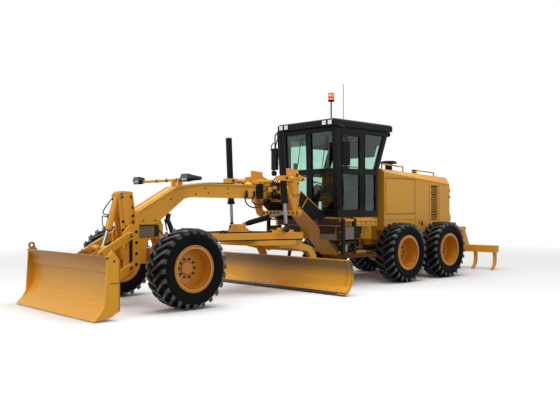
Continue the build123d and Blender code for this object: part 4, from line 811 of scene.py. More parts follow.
# ---- cab trim ------------------------------------------------------------------------------------
# Rubber glazing seals, grab rails, door handles, wipers and roof lamps, clipped or bolted to the cab.
# The sun band on the windscreen and the blind at the back keep the low sun off the operator.
SEAL = finish_material("rubber_seal", (0.007, 0.007, 0.008), 0.7, scale=40.0, tone=0.3, gloss=0.1, bump=0.15,
                       distance=0.001, specular=0.15)
HOSE = finish_material("hose_rubber", (0.012, 0.012, 0.013), 0.48, scale=60.0, tone=0.3, gloss=0.2, bump=0.3,
                       distance=0.0008, specular=0.35)
LENS = finish_material("lamp_lens", (0.78, 0.80, 0.82), 0.12, coat=0.5, scale=60.0, tone=0.10,
                       gloss=0.08, bump=0.3)
AMBER = finish_material("beacon_lens", (0.80, 0.075, 0.010), 0.16, coat=0.6, scale=50.0, tone=0.15, bump=0.2)
AMBER_PALE = finish_material("beacon_band", (0.95, 0.42, 0.05), 0.18, coat=0.5, scale=50.0,
                             tone=0.15, bump=0.2)
SILVERED = finish_material("mirror_glass", (0.60, 0.63, 0.66), 0.06, metal=1.0, scale=3.0, tone=0.05,
                           gloss=0.03, bump=0.01)


SEAL_Y, ROOF_TOP, BEACON = 0.742, 3.247, (1.74, 0, 3.760)
FRONT_LAMPS, REAR_LAMP = (0.530, 0.680), (0.735, 0.700, 3.062)


def seal_frame(shape, corners, width, lift):
    """A rubber strip round an opening: corners in order, lift is the way out of the pane."""
    bent = [tuple(Vector(c) + Vector(lift)) for c in corners]
    bent_bar(shape, bent + [bent[0]], width, 0, 6)


def make_seals():
    shape = bmesh.new()
    for side in (1, -1):
        for points in REAR_SIDE_PANES:
            seal_frame(shape, [(x, side * SEAL_Y, z) for x, z in points], 0.011, (0, 0, 0))
    for y0, y1 in SCREEN_WIDTHS:
        for z0, z1 in SCREEN_HEIGHTS:
            x0, x1 = windscreen_x(z0), windscreen_x(z1)
            seal_frame(shape, [(x0, y0, z0), (x0, y1, z0), (x1, y1, z1), (x1, y0, z1)], 0.011, (0.003, 0, 0))
    # gutter under the roof's edge
    for side in (1, -1):
        bent_bar(shape, [(0.80, side * 0.755, 3.100), (2.44, side * 0.755, 3.100)], 0.012, 0, 8)
    bent_bar(shape, [(2.435, -0.74, 3.100), (2.435, 0.74, 3.100)], 0.012, 0, 8)
    return shape


add_piece("window_seals", make_seals(), SEAL, "front")


def make_shades():
    shape = bmesh.new()
    for y0, y1 in ((-0.655, -0.055), (0.055, 0.655)):
        screen_slab(shape, 0.030, y0, y1, 2.776, 2.992, 0.004)
    return shape


add_piece("sun_band", make_shades(), glass_material("sun_band_glass", (0.07, 0.12, 0.10, 1)), "front")


def make_blind():
    """A roller blind let down over the top of the rear pane, in shallow horizontal folds."""
    shape = bmesh.new()
    heights = [2.585 + 0.44 * k / 14 for k in range(15)]
    top = [(1.215 - 0.41 * (z - 2.33) + 0.004 * (k % 2), z) for k, z in enumerate(heights)]
    part = bmesh.new()
    near = [[part.verts.new((x_at(x), y, z)) for y in (-0.63, 0.63)] for x, z in top]
    for a, b in zip(near, near[1:]):
        part.faces.new((a[0], a[1], b[1], b[0]))
    bmesh.ops.solidify(part, geom=part.faces[:], thickness=0.003)
    join_part(shape, part)
    turned(shape, (top[-1][0], -0.63, top[-1][1] - 0.01), (0, 1, 0), [(0, 0.022), (1.26, 0.022)], 12)
    turned(shape, (top[0][0], -0.63, top[0][1]), (0, 1, 0), [(0, 0.010), (1.26, 0.010)], 8)
    for side in (1, -1):
        plate(shape, [(0.96, 3.0), (1.55, 3.0), (1.55, 2.80), (0.96 + 0.075, 2.80)], "y",
              *span(side, 0.700, 0.704), 0.0)
    return shape


add_piece("rear_blind", make_blind(), SEAL, "front")


def make_cab_fittings():
    shape = bmesh.new()
    for side in (1, -1):
        # outside grab rails beside the door and up the front pillar
        bent_bar(shape, [(2.33, side * 0.745, 1.50), (2.34, side * 0.785, 1.52), (2.36, side * 0.785, 2.30),
                         (2.36, side * 0.745, 2.32)], 0.012, 2)
        bent_bar(shape, [(1.60, side * 0.745, 1.62), (1.60, side * 0.780, 1.64), (1.60, side * 0.780, 2.12),
                         (1.60, side * 0.745, 2.14)], 0.011, 2)
        # roof work lamps: two let into the fascia at each front corner, one hung at each rear corner
        for y in FRONT_LAMPS:
            block(shape, (2.505, 2.534), span(side, y - 0.060, y + 0.060), (3.122, 3.222), 0.008)
        turned(shape, (REAR_LAMP[0], side * REAR_LAMP[1], REAR_LAMP[2]), (-1, 0, -0.15),
               [(-0.08, 0.022), (-0.06, 0.042), (0.0, 0.050), (0.014, 0.050)], 20)
        block(shape, (0.72, 0.80), (side * 0.700 - 0.012, side * 0.700 + 0.012), (3.06, 3.115), 0.002)
    # wipers: a motor box on the belt, an arm and its blade
    for y in (-0.33, 0.36):
        x0 = windscreen_x(2.24) + 0.012
        turned(shape, (x0 - 0.01, y, 2.245), (1, 0, 0), [(0, 0.022), (0.028, 0.018)], 12)
        x1 = windscreen_x(2.72) + 0.022
        bent_bar(shape, [(x0 + 0.02, y, 2.245), (x1, y + 0.10, 2.70)], 0.007, 0, 6)
        bent_bar(shape, [(windscreen_x(2.42) + 0.014, y + 0.03, 2.42),
                         (windscreen_x(2.94) + 0.014, y + 0.14, 2.94)], 0.008, 0, 6)
    # inside mirror and the ceiling vent pod
    block(shape, (2.28, 2.31), (-0.16, 0.10), (2.86, 2.94), 0.01)
    block(shape, (1.45, 1.90), (-0.30, 0.30), (3.00, 3.062), 0.02)
    # round plinths and two long ribs on the roof
    turned(shape, (1.74, 0, ROOF_TOP), (0, 0, 1), [(0, 0.085), (0.02, 0.080), (0.035, 0.030),
                                                   (0.05, 0.020)], 20)
    turned(shape, (0.90, -0.40, ROOF_TOP), (0, 0, 1), [(0, 0.040), (0.02, 0.034), (0.05, 0.012)], 16)
    turned(shape, (1.35, 0.22, ROOF_TOP), (0, 0, 1), [(0, 0.11), (0.018, 0.105), (0.032, 0.07)], 24)
    plate(shape, [(0.80, -0.60), (2.40, -0.60), (2.40, -0.52), (0.80, -0.52)], "z", 3.246, 3.258, 0.003)
    plate(shape, [(0.80, 0.52), (2.40, 0.52), (2.40, 0.60), (0.80, 0.60)], "z", 3.246, 3.258, 0.003)
    return shape


add_piece("cab_fittings", make_cab_fittings(), BLACK, "front")


def make_lenses():
    shape = bmesh.new()
    for side in (1, -1):
        for y in FRONT_LAMPS:
            block(shape, (2.530, 2.5385), span(side, y - 0.049, y + 0.049), (3.132, 3.212), 0.003)
        turned(shape, (REAR_LAMP[0], side * REAR_LAMP[1], REAR_LAMP[2]), (-1, 0, -0.15),
               [(0.008, 0.044), (0.016, 0.043), (0.022, 0.028)], 20)
    return shape


add_piece("work_lamp_lenses", make_lenses(), LENS, "front")


def make_beacon():
    shape = bmesh.new()
    profile = [(0.0, 0.062)]
    for k in range(6):
        z = 0.004 + k * 0.021
        profile += [(z, 0.0655), (z + 0.015, 0.0655), (z + 0.018, 0.0635)]
    profile += [(0.135, 0.064), (0.147, 0.050), (0.150, 0.02)]
    turned(shape, BEACON, (0, 0, 1), profile, 28)
    return shape


add_piece("beacon_lens", make_beacon(), AMBER, "front")
shape = bmesh.new()
turned(shape, BEACON, (0, 0, 1), [(0.076, 0.0668), (0.082, 0.0672), (0.104, 0.0672), (0.110, 0.0668)], 28)
turned(shape, BEACON, (0, 0, 1), [(0.002, 0.0668), (0.006, 0.0672), (0.022, 0.0672), (0.026, 0.0668)], 28)
add_piece("beacon_band", shape, AMBER_PALE, "front")
shape = bmesh.new()
turned(shape, (1.74, 0, 3.725), (0, 0, 1), [(0, 0.030), (0.010, 0.068), (0.034, 0.072), (0.036, 0.060)], 28)
add_piece("beacon_base", shape, BLACK, "front")


def make_mirrors():
    shape = bmesh.new()
    for side in (1, -1):
        outline = [(side * 0.905, 2.345), (side * 0.925, 2.325), (side * 1.060, 2.325), (side * 1.083, 2.345),
                   (side * 1.083, 2.765), (side * 1.060, 2.786), (side * 0.925, 2.786), (side * 0.905, 2.765)]
        plate(shape, outline, "x", 2.392, 2.448, 0.012)
        # the looped stay in front of the housing, and the arm's upper bracket
        bent_bar(shape, [(2.455, side * 0.93, 2.40), (2.475, side * 0.90, 2.42), (2.478, side * 0.895, 2.86),
                         (2.46, side * 0.94, 2.90), (2.45, side * 1.05, 2.88),
                         (2.455, side * 1.07, 2.74)], 0.011, 3)
        bent_bar(shape, [(2.43, side * 0.775, 2.62), (2.46, side * 0.86, 2.60),
                         (2.462, side * 0.92, 2.60)], 0.011, 2)
        bent_bar(shape, [(2.43, side * 0.775, 3.05), (2.47, side * 0.84, 3.02),
                         (2.478, side * 0.895, 2.84)], 0.011, 2)
        turned(shape, (2.452, side * 0.99, 2.26), (1, 0, 0), [(-0.05, 0.02), (-0.04, 0.055), (0, 0.062),
                                                              (0.012, 0.058)], 20)
    return shape


add_piece("mirror_housings", make_mirrors(), BLACK, "front")
shape = bmesh.new()
for side in (1, -1):
    plate(shape, [(side * 0.925, 2.345), (side * 1.063, 2.345), (side * 1.063, 2.765),
                  (side * 0.925, 2.765)], "x",
          2.3885, 2.3925, 0.001)
add_piece("mirror_faces", shape, SILVERED, "front")

for side, name in SIDES:
    shape = bmesh.new()
    for points in door_panes():
        seal_frame(shape, [(x, side * SEAL_Y, z) for x, z in points], 0.010, (0, 0, 0))
    add_piece(f"door_seals_{name}", shape, SEAL, f"door_{name}")
    shape = bmesh.new()
    plate(shape, [(2.205, 2.205), (2.265, 2.205), (2.265, 2.275), (2.205, 2.275)], "y",
          *span(side, 0.741, 0.752), 0.003)
    bent_bar(shape, [(2.225, side * 0.750, 2.24), (2.225, side * 0.776, 2.24),
                     (2.13, side * 0.778, 2.235)], 0.009, 1)
    bent_bar(shape, [(2.25, side * 0.745, 1.55), (2.25, side * 0.775, 1.57), (2.25, side * 0.775, 2.05),
                     (2.25, side * 0.745, 2.07)], 0.010, 2)
    add_piece(f"door_handle_{name}", shape, BLACK, f"door_{name}")

# ---- bolts, seams and vents of the bonnet ----------------------------------------------------------
# Flanged hexagon bolts hold the sheet steel panels, and dark lines of painted shade mark the seams between
# them. Slats stand in the vents before a dark screen; lamps, caps and pipes in black are fixed on the panels.
BOLT = finish_material("bolt_head", (0.055, 0.045, 0.035), 0.42, metal=0.5, scale=40.0, tone=0.3, gloss=0.2)
PIN_STEEL = finish_material("pin_end", (0.10, 0.13, 0.20), 0.3, metal=0.8, scale=30.0, tone=0.3, gloss=0.2)


def bolt_row_tree():
    """Bolt heads at even steps between two points, each a hexagon on a round flange."""
    tree, given = open_tree("bolt_row", (
        ("Count", "Int", 4), ("Start", "Vector", (0, 0, 0)), ("End", "Vector", (1, 0, 0)),
        ("Facing", "Vector", (0, 0, 0)), ("Radius", "Float", 0.012), ("Height", "Float", 0.012)))
    ends = {"Count": given["Count"], "Start Location": given["Start"], "Offset": given["End"]}
    line = add_node(tree, "GeometryNodeMeshLine", ends, mode="END_POINTS")
    heads = add_node(tree, "GeometryNodeJoinGeometry")
    for sides, spread, tall in ((6, 0.8, 1.0), (12, 1.15, 0.3)):
        head = add_node(tree, "GeometryNodeMeshCylinder", {
            "Vertices": sides, "Radius": worked_out(tree, "MULTIPLY", given["Radius"], spread),
            "Depth": worked_out(tree, "MULTIPLY", given["Height"], tall)})
        set_inputs(tree, heads, {"Geometry": head.outputs["Mesh"]})
    return close_tree(tree, given, {"Points": line.outputs["Mesh"], "Instance": heads.outputs["Geometry"],
                                    "Rotation": given["Facing"]})


BOLT_TREE = bolt_row_tree()
FACING = {"y": (-math.pi / 2, 0, 0), "-y": (math.pi / 2, 0, 0), "x": (0, math.pi / 2, 0),
          "-x": (0, -math.pi / 2, 0), "z": (0, 0, 0)}


def bolt_rows(name, body, rows, radius=0.012, height=0.012, material=BOLT):
    """Rows are (start, end, count, facing), points as (station, across, height); one piece rides the body."""
    shape = bmesh.new()
    for start, end, count, facing in rows:
        ends = [(x_at(p[0]), p[1], p[2]) for p in (start, end)]
        mesh = grown(BOLT_TREE, name, Count=count, Start=ends[0], End=ends[1], Facing=FACING[facing],
                     Radius=radius, Height=height, Material=material)
        shape.from_mesh(mesh)
        bpy.data.meshes.remove(mesh)
    mesh = bpy.data.meshes.new(name)
    shape.to_mesh(mesh)
    shape.free()
    piece = link_object(name, mesh, [material])
    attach(piece, body)
    return piece


def both(rows):
    """The same rows on the machine's other side."""
    turned_over = {"y": "-y", "-y": "y"}
    return rows + [((a[0], -a[1], a[2]), (b[0], -b[1], b[2]), n, turned_over.get(f, f))
                   for a, b, n, f in rows]


HOOD_Y, HOOD_LOW, HOOD_HIGH, HOOD_REAR, HOOD_LENGTH = 0.640, 2.237, 2.355, -1.69, 2.49
TAIL_LAMP_Y, CLEANER_X, FILLER = 0.490, -0.196, (-0.640, 0.380)
bolt_rows("hood_bolts", "rear", both([
    ((0.782, HOOD_Y, 1.28), (0.782, HOOD_Y, 2.14), 5, "y"),
    ((-0.338, HOOD_Y, 1.30), (-0.338, HOOD_Y, 2.12), 5, "y"),
    ((-0.905, HOOD_Y, 1.26), (-0.905, HOOD_Y, 2.04), 6, "y"),
    ((-1.215, HOOD_Y, 1.26), (-1.215, HOOD_Y, 2.02), 6, "y"),
    ((-1.645, HOOD_Y, 1.24), (-1.645, HOOD_Y, 1.96), 5, "y"),
    ((-0.42, HOOD_Y, 1.13), (-1.60, HOOD_Y, 1.13), 7, "y"),
    ((0.72, HOOD_Y, 1.13), (-0.20, HOOD_Y, 1.13), 5, "y"),
    ((0.72, HOOD_Y, 2.232), (-0.25, HOOD_Y, 2.222), 5, "y")]), 0.010, 0.010)
bolt_rows("hood_rear_bolts", "rear", [((-1.690, -0.52, 1.72), (-1.690, 0.52, 1.72), 7, "-x"),
                                      ((-1.690, -0.56, 2.03), (-1.690, 0.56, 2.03), 7, "-x")], 0.010, 0.010)


def make_hood_trim():
    shape = bmesh.new()
    # Dark strips of painted shade in the panel seams and slots.
    for side in (1, -1):
        y0, y1 = span(side, HOOD_Y - 0.002, HOOD_Y + 0.0018)
        for x0, x1, z0, z1 in ((-0.306, -0.299, 1.10, 2.165), (-0.858, -0.850, 1.10, 2.110),
                               (-1.262, -1.254, 1.10, 2.075),
                               (0.748, 0.754, 1.39, 2.156), (-0.306, 0.754, 1.389, 1.396),
                               (-0.306, 0.754, 2.149, 2.156)):
            block(shape, (x0, x1), (y0, y1), (z0, z1), 0.0)
        # painted shade in the seam of the lower skirt and in two short slots
        block(shape, (-0.30, 0.73), (y0, y1), (1.262, 1.268), 0.0)
        block(shape, (-0.50, -0.44), span(side, HOOD_Y - 0.002, HOOD_Y + 0.003), (1.225, 1.245), 0.002)
        block(shape, (-0.50, -0.44), span(side, HOOD_Y - 0.002, HOOD_Y + 0.003), (1.170, 1.190), 0.002)
    return shape


add_piece("hood_seam_shade", make_hood_trim(), SEAM_SHADE, "rear")


def make_hood_black():
    shape = bmesh.new()
    # pre-cleaner: a ribbed cap over its screen, slipped on the stem
    profile = [(0.0, 0.182)]
    for k in range(7):
        z = 0.003 + k * 0.005
        profile += [(z, 0.186 if k % 2 else 0.182)]
    profile += [(0.040, 0.184), (0.052, 0.172), (0.0635, 0.125), (0.066, 0.03)]
    turned(shape, (CLEANER_X, 0, 2.5262), (0, 0, 1), profile, 36)
    turned(shape, (CLEANER_X, 0, 2.345), (0, 0, 1), [(0, 0.092), (0.012, 0.088), (0.05, 0.082),
                                                     (0.155, 0.080), (0.180, 0.100)], 28)
    turned(shape, (*FILLER, 2.365), (0, 0, 1), [(0, 0.048), (0.006, 0.060), (0.022, 0.060),
                                                (0.028, 0.045)], 20)
    turned(shape, (*FILLER, 2.32), (0, 0, 1), [(0, 0.060), (0.008, 0.050), (0.02, 0.047)], 20)
    # exhaust stub beside the cleaner and the rear camera on the tail
    turned(shape, (-0.62, -0.25, 2.29), (0, 0, 1), [(0, 0.075), (0.01, 0.062), (0.11, 0.060),
                                                    (0.115, 0.052)], 24)
    bent_bar(shape, [(-1.70, 0.0, 2.15), (-1.78, 0.0, 2.16), (-1.80, 0.0, 2.10)], 0.020, 2)
    for side in (1, -1):
        # rear lamps on their brackets
        turned(shape, (-1.775, side * TAIL_LAMP_Y, 1.93), (-1, 0, 0),
               [(0, 0.030), (0.02, 0.052), (0.075, 0.060), (0.09, 0.060)], 20)
        block(shape, (-1.83, -1.70), span(side, 0.470, 0.512), (1.795, 1.812), 0.004)
        turned(shape, (-1.83, side * TAIL_LAMP_Y, 1.785), (-1, 0, 0),
               [(0, 0.030), (0.02, 0.046), (0.055, 0.050)], 18)
        # latch handle of the side door
        plate(shape, [(-0.60, 1.135), (-0.54, 1.135), (-0.54, 1.225), (-0.60, 1.225)], "y",
              *span(side, HOOD_Y - 0.001, HOOD_Y + 0.008), 0.004)
    # rubber steps on the bonnet's walkway
    for x in (0.58, 0.30, 0.02, -0.42, -0.86, -1.22):
        top = HOOD_LOW + (HOOD_HIGH - HOOD_LOW) * (x - HOOD_REAR) / HOOD_LENGTH
        for y in (-0.46, 0.46):
            plate(shape, [(x - 0.10, y - 0.045), (x + 0.10, y - 0.045), (x + 0.10, y + 0.045),
                          (x - 0.10, y + 0.045)], "z",
                  top - 0.012, top + 0.007, 0.002)
    return shape


add_piece("hood_fittings", make_hood_black(), BLACK, "rear")
shape = bmesh.new()
for side in (1, -1):
    turned(shape, (-1.864, side * TAIL_LAMP_Y, 1.93), (-1, 0, 0),
           [(0, 0.052), (0.006, 0.051), (0.012, 0.03)], 20)
    turned(shape, (-1.884, side * TAIL_LAMP_Y, 1.785), (-1, 0, 0),
           [(0, 0.042), (0.006, 0.041), (0.010, 0.03)], 18)
add_piece("tail_lamp_lenses", shape, AMBER, "rear")
# The vents' slats are the bonnet's enamel darkened with painted shade.
VENT = finish_material("vent_enamel", (0.30, 0.185, 0.035), 0.5, scale=12.0, tone=0.25, gloss=0.15, bump=0.08)
SCREEN = finish_material("vent_screen", (0.020, 0.018, 0.012), 0.7, scale=80.0, tone=0.5, bump=0.4,
                         specular=0.1)


def make_vent_screens():
    shape = bmesh.new()
    for side in (1, -1):
        block(shape, (-1.187, -0.935), span(side, 0.6085, 0.611), (1.240, 2.040), 0.0)
    block(shape, (-1.6615, -1.659), (-0.430, 0.430), (1.690, 2.010), 0.0)
    return shape


add_piece("vent_screens", make_vent_screens(), SCREEN, "rear")


def vent_slats_tree():
    """Thin slats stacked up an opening, each tilted about its length."""
    tree, given = open_tree("vent_slats", (
        ("Count", "Int", 20), ("Start", "Vector", (0, 0, 0)), ("Step", "Vector", (0, 0, 0.03)),
        ("Size", "Vector", (0.2, 0.02, 0.012)), ("Tilt", "Vector", (0.5, 0, 0))))
    line = add_node(tree, "GeometryNodeMeshLine", {"Count": given["Count"], "Start Location": given["Start"],
                                                   "Offset": given["Step"]})
    slat = add_node(tree, "GeometryNodeMeshCube", {"Size": given["Size"]})
    return close_tree(tree, given, {"Points": line.outputs["Mesh"], "Instance": slat.outputs["Mesh"],
                                    "Rotation": given["Tilt"]})


VENT_TREE = vent_slats_tree()
for side, name in SIDES:
    mesh = grown(VENT_TREE, "slats", Count=26, Start=(x_at(-1.061), side * 0.6365, 1.262),
                 Step=(0, 0, 0.0305), Size=(0.250, 0.016, 0.0035), Tilt=(side * 0.75, 0, 0), Material=VENT)
    slats = link_object(f"side_vent_{name}", mesh, [])
    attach(slats, "rear")

# ---- gooseneck, lamps and nose -------------------------------------------------------------------
# The beam is a welded steel box. Two moulded work lamps hang on its cross tube; bolts, pin ends, and the
# pipes and hoses of the nose are fixed on it. FRONT_AXLE and NOSE are stations.
FRONT_AXLE = 6.139
NOSE = FRONT_AXLE + 0.311
LAMP_PLACES, LAMP_STATION, LAMP_HEIGHT = (-1.120, 0.350), FRONT_AXLE - 0.539, 2.017
TOWER_PINS, TOWER_PIN_X = (0.595, 1.094), NOSE + 0.200
DOZER_TOP_X, DOZER_TOP_Z = NOSE + 0.258, 1.740
LAMP_OUTLINE = ((-0.118, 0), (-0.074, 0.066), (0.074, 0.066), (0.118, 0), (0.074, -0.066), (-0.074, -0.066))


def make_lamp_shells():
    """Moulded backs of the two work lamps, with a rim round each lens."""
    shape = bmesh.new()
    for y in LAMP_PLACES:
        part = bmesh.new()
        rings = []
        back = -0.230 if y > 0 else -0.044
        for dx, f in ((back, 0.42), (-0.040, 0.74), (0.060, 1.0), (0.0985, 1.0), (0.0985, 0.92),
                      (0.084, 0.90)):
            rings.append([part.verts.new((x_at(LAMP_STATION + dx), y + a * f, LAMP_HEIGHT + b * f))
                          for a, b in LAMP_OUTLINE])
        skin(part, rings)
        join_part(shape, part)
        bent_bar(shape, [(FRONT_AXLE - 0.60, y, 2.0), (FRONT_AXLE - 0.56, y, 1.975),
                         (LAMP_STATION, y, 1.965)], 0.016, 1)
    for y in (-0.60, -0.30, 0.0, 0.10):
        turned(shape, (LAMP_STATION, y, 1.995), (0, 1, 0), [(0, 0.026), (0.002, 0.031), (0.028, 0.031),
                                                            (0.030, 0.026)], 14)
    return shape


add_piece("lamp_shells", make_lamp_shells(), BLACK, "front")


def make_lamp_faces():
    shape = bmesh.new()
    for y in LAMP_PLACES:
        for dy in (-0.035, 0.035):
            turned(shape, (FRONT_AXLE - 0.4415, y + dy, 1.995), (1, 0, 0),
                   [(0.0, 0.019), (0.003, 0.018), (0.005, 0.010)], 16)
    return shape


add_piece("lamp_faces", make_lamp_faces(), LENS, "front")
bolt_rows("beam_bolts", "front", both([
    ((6.341, 0.152, 1.326), (6.116, 0.152, 1.323), 2, "y"), ((5.817, 0.152, 1.672),
                                                             (5.733, 0.152, 1.574), 2, "y"),
    ((5.312, 0.152, 1.761), (5.312, 0.152, 1.761), 1, "y"), ((5.12, 0.152, 1.86),
                                                             (5.05, 0.152, 1.79), 2, "y"),
    ((4.62, 0.152, 1.87), (4.62, 0.152, 1.78), 2, "y"), ((3.95, 0.152, 1.88), (3.90, 0.152, 1.88), 2, "y")]),
    0.014, 0.012)
bolt_rows("nose_bolts", "front", both([
    ((NOSE, 0.165, 1.20), (NOSE, 0.165, 0.66), 5, "x")]), 0.013, 0.012)
bolt_rows("tower_bolts", "front", both([
    ((NOSE + 0.085, 0.110, 1.700), (NOSE + 0.060, 0.110, 1.535), 2, "y"),
    ((NOSE + 0.055, 0.110, 1.400), (NOSE + 0.050, 0.110, 1.300), 2, "y"),
    ((NOSE + 0.235, 0.110, 1.310), (NOSE + 0.235, 0.110, 1.180), 2, "y"),
    ((NOSE + 0.050, 0.200, 1.150), (NOSE + 0.050, 0.200, 0.640), 4, "y")]), 0.022, 0.014, BLACK)


def make_pin_ends(places, radius):
    """Stepped discs on the ends of pins: places are (station, height, outer face, side)."""
    shape = bmesh.new()
    for x, z, y, side in places:
        turned(shape, (x, y, z), (0, side, 0), [(-0.002, radius), (0.0065, radius),
                                                (0.0095, radius - 0.006)], 20)
    return shape


dozer_pins = [(TOWER_PIN_X, z, side * 0.295, side) for z in TOWER_PINS for side in (1, -1)]
dozer_pins += [(DOZER_TOP_X, DOZER_TOP_Z, side * 0.115, side) for side in (1, -1)]
add_piece("tower_pins", make_pin_ends(dozer_pins, 0.026), PIN_STEEL, "front")


def make_dozer_pipes():
    """Two steel pipes along the dozer cylinder, their end fittings and the collar at its rod end."""
    shape = bmesh.new()
    top, eye = Vector((DOZER_TOP_X, 0, DOZER_TOP_Z)), Vector((NOSE + 0.552, 0, 0.818))
    way = (eye - top).normalized()
    out = Vector((way.z, 0, -way.x)) * -1

    def at(d, lift, y=0.0):
        return tuple(top + way * d + out * lift + Vector((0, y, 0)))

    bent_bar(shape, [at(0.10, 0.058), at(0.10, 0.075), at(0.12, 0.085, -0.02), at(0.33, 0.145, -0.05),
                     at(0.36, 0.12, -0.05), at(0.36, 0.06, -0.02)], 0.0085, 2, 8)
    bent_bar(shape, [at(0.39, 0.058, -0.02), at(0.39, 0.12, -0.05), at(0.41, 0.13, -0.05),
                     at(0.545, 0.088, -0.03), at(0.56, 0.058, -0.01)],
             0.0085, 2, 8)
    for d in (0.10, 0.36, 0.39, 0.56):
        turned(shape, at(d, 0.050, -0.015), tuple(out), [(0, 0.016), (0.016, 0.016), (0.018, 0.011)], 10)
    turned(shape, at(0.582, 0.0), tuple(way), [(0, 0.0585), (0.010, 0.0585), (0.012, 0.030)], 24)
    return shape


add_piece("dozer_pipes", make_dozer_pipes(), BLACK, "dozer_barrel")


def make_nose_hoses():
    shape = bmesh.new()
    # one hose on each side, from behind the nose down and out to the axle
    for side in (1, -1):
        bent_bar(shape, [(FRONT_AXLE - 0.10, side * 0.135, 1.16), (FRONT_AXLE - 0.10, side * 0.26, 1.10),
                         (FRONT_AXLE - 0.13, side * 0.42, 0.86),
                         (FRONT_AXLE - 0.14, side * 0.50, 0.80)], 0.013, 3, 8)
    return shape


add_piece("nose_hoses", make_nose_hoses(), HOSE, "front")

# ---- dozer blade trim ----------------------------------------------------------------------------
# The blade is welded steel. Two dark strips of painted shade along its seams and two bolt heads are laid on
# the outer face of its left end plate; TIP is the station of its foremost point.
TIP = FRONT_AXLE + 1.663


def make_end_plate_seam_shade():
    # Painted shade: a short line across the end plate and a long one up beside its rear edge.
    shape = bmesh.new()
    y0, y1 = 1.2805, 1.2835
    rear = TIP - 0.385
    block(shape, (rear + 0.02, rear + 0.150), (y0, y1), (0.500, 0.509), 0.0)
    block(shape, (rear + 0.010, rear + 0.016), (y0, y1), (0.12, 0.79), 0.0)
    return shape


add_piece("end_plate_seam_shade", make_end_plate_seam_shade(), SEAM_SHADE, "dozer_blade")
bolt_rows("dozer_bolts", "dozer_blade", [((TIP - 0.200, 1.281, 0.845), (TIP - 0.30, 1.281, 0.80), 2, "y")],
          0.016, 0.010)

# ---- valve bank and hoses of the gooseneck -------------------------------------------------------
# Cast valves bolted to the beam's sides and top just ahead of the saddle. Rubber hoses leave them in
# loops beside and under the beam, and a black strap goes over it.


def make_valve_bodies():
    shape = bmesh.new()
    block(shape, (3.800, 3.925), (0.100, 0.172), (1.958, 2.030), 0.008)
    block(shape, (3.500, 3.790), (-0.130, 0.175), (1.985, 2.030), 0.006)
    block(shape, (3.480, 3.600), (-0.110, 0.120), (2.012, 2.058), 0.008)
    for x0, x1, z0, z1 in ((3.650, 3.740, 1.820, 1.905), (3.545, 3.630, 1.865, 1.930),
                           (3.450, 3.535, 1.790, 1.850)):
        block(shape, (x0, x1), (0.232, 0.270), (z0, z1), 0.006)
    block(shape, (4.060, 4.175), (0.166, 0.186), (1.715, 1.850), 0.005)
    for x in (3.66, 3.74):
        turned(shape, (x, 0.02, 2.030), (0, 0, 1), [(0, 0.026), (0.02, 0.026), (0.026, 0.018)], 12)
    turned(shape, (4.020, 0, 1.945), (0, 0, 1), [(0, 0.085), (0.018, 0.082), (0.045, 0.055),
                                                 (0.062, 0.020)], 24)
    # lifting eye on top of the beam
    turned(shape, (4.150, 0.060, 2.010), (0, 1, 0), [(0, 0.036), (0.004, 0.040), (0.022, 0.040),
                                                     (0.026, 0.036)], 20)
    return shape


add_piece("valve_bodies", make_valve_bodies(), YELLOW, "front")


def make_valve_blacks():
    shape = bmesh.new()
    # the strap over the beam and its two lugs
    for side in (1, -1):
        block(shape, (3.795, 3.965), span(side, 0.150, 0.176), (1.690, 1.958), 0.004)
        block(shape, (3.840, 3.920), span(side, 0.170, 0.200), (1.930, 1.975), 0.006)
    block(shape, (3.795, 3.965), (-0.176, 0.176), (1.945, 1.960), 0.004)
    # the bank behind the yellow covers, with its spools and couplings
    block(shape, (3.440, 3.650), (0.2305, 0.246), (1.690, 1.960), 0.006)
    for x in (3.470, 3.530, 3.590, 3.640):
        turned(shape, (x, 0.210, 1.735), (0, 1, 0), [(0, 0.022), (0.065, 0.022), (0.068, 0.015)], 12)
        turned(shape, (x, 0.238, 1.960), (0, 0, 1), [(0, 0.018), (0.030, 0.018), (0.034, 0.011)], 10)
    for x in (4.215, 4.037):
        turned(shape, (x, 0.184, 1.705), (0, 0, 1), [(0, 0.017), (0.03, 0.023), (0.105, 0.023),
                                                     (0.125, 0.017)], 12)
    # the dome of the swing motor under the beam
    turned(shape, (3.520, -0.05, 1.560), (0, 0, 1), [(0, 0.03), (0.012, 0.062), (0.035, 0.075), (0.12, 0.075),
                                                     (0.135, 0.060)], 24)
    return shape


add_piece("valve_blacks", make_valve_blacks(), BLACK, "front")


def make_valve_chromes():
    shape = bmesh.new()
    for x, z in ((3.537, 1.897), (3.747, 1.815), (3.610, 1.790), (3.480, 1.905)):
        turned(shape, (x, 0.246, z), (0, 1, 0), [(0, 0.017), (0.018, 0.017), (0.024, 0.011),
                                                 (0.040, 0.011)], 6)
    for x, y in ((3.64, 0.190), (3.56, 0.190)):
        bent_bar(shape, [(x, y, 2.00), (x, y + 0.03, 2.02), (x - 0.05, y + 0.03, 1.98),
                         (x - 0.07, y + 0.03, 1.90)], 0.007, 2, 8)
    return shape


add_piece("valve_unions", make_valve_chromes(), CHROME, "front")


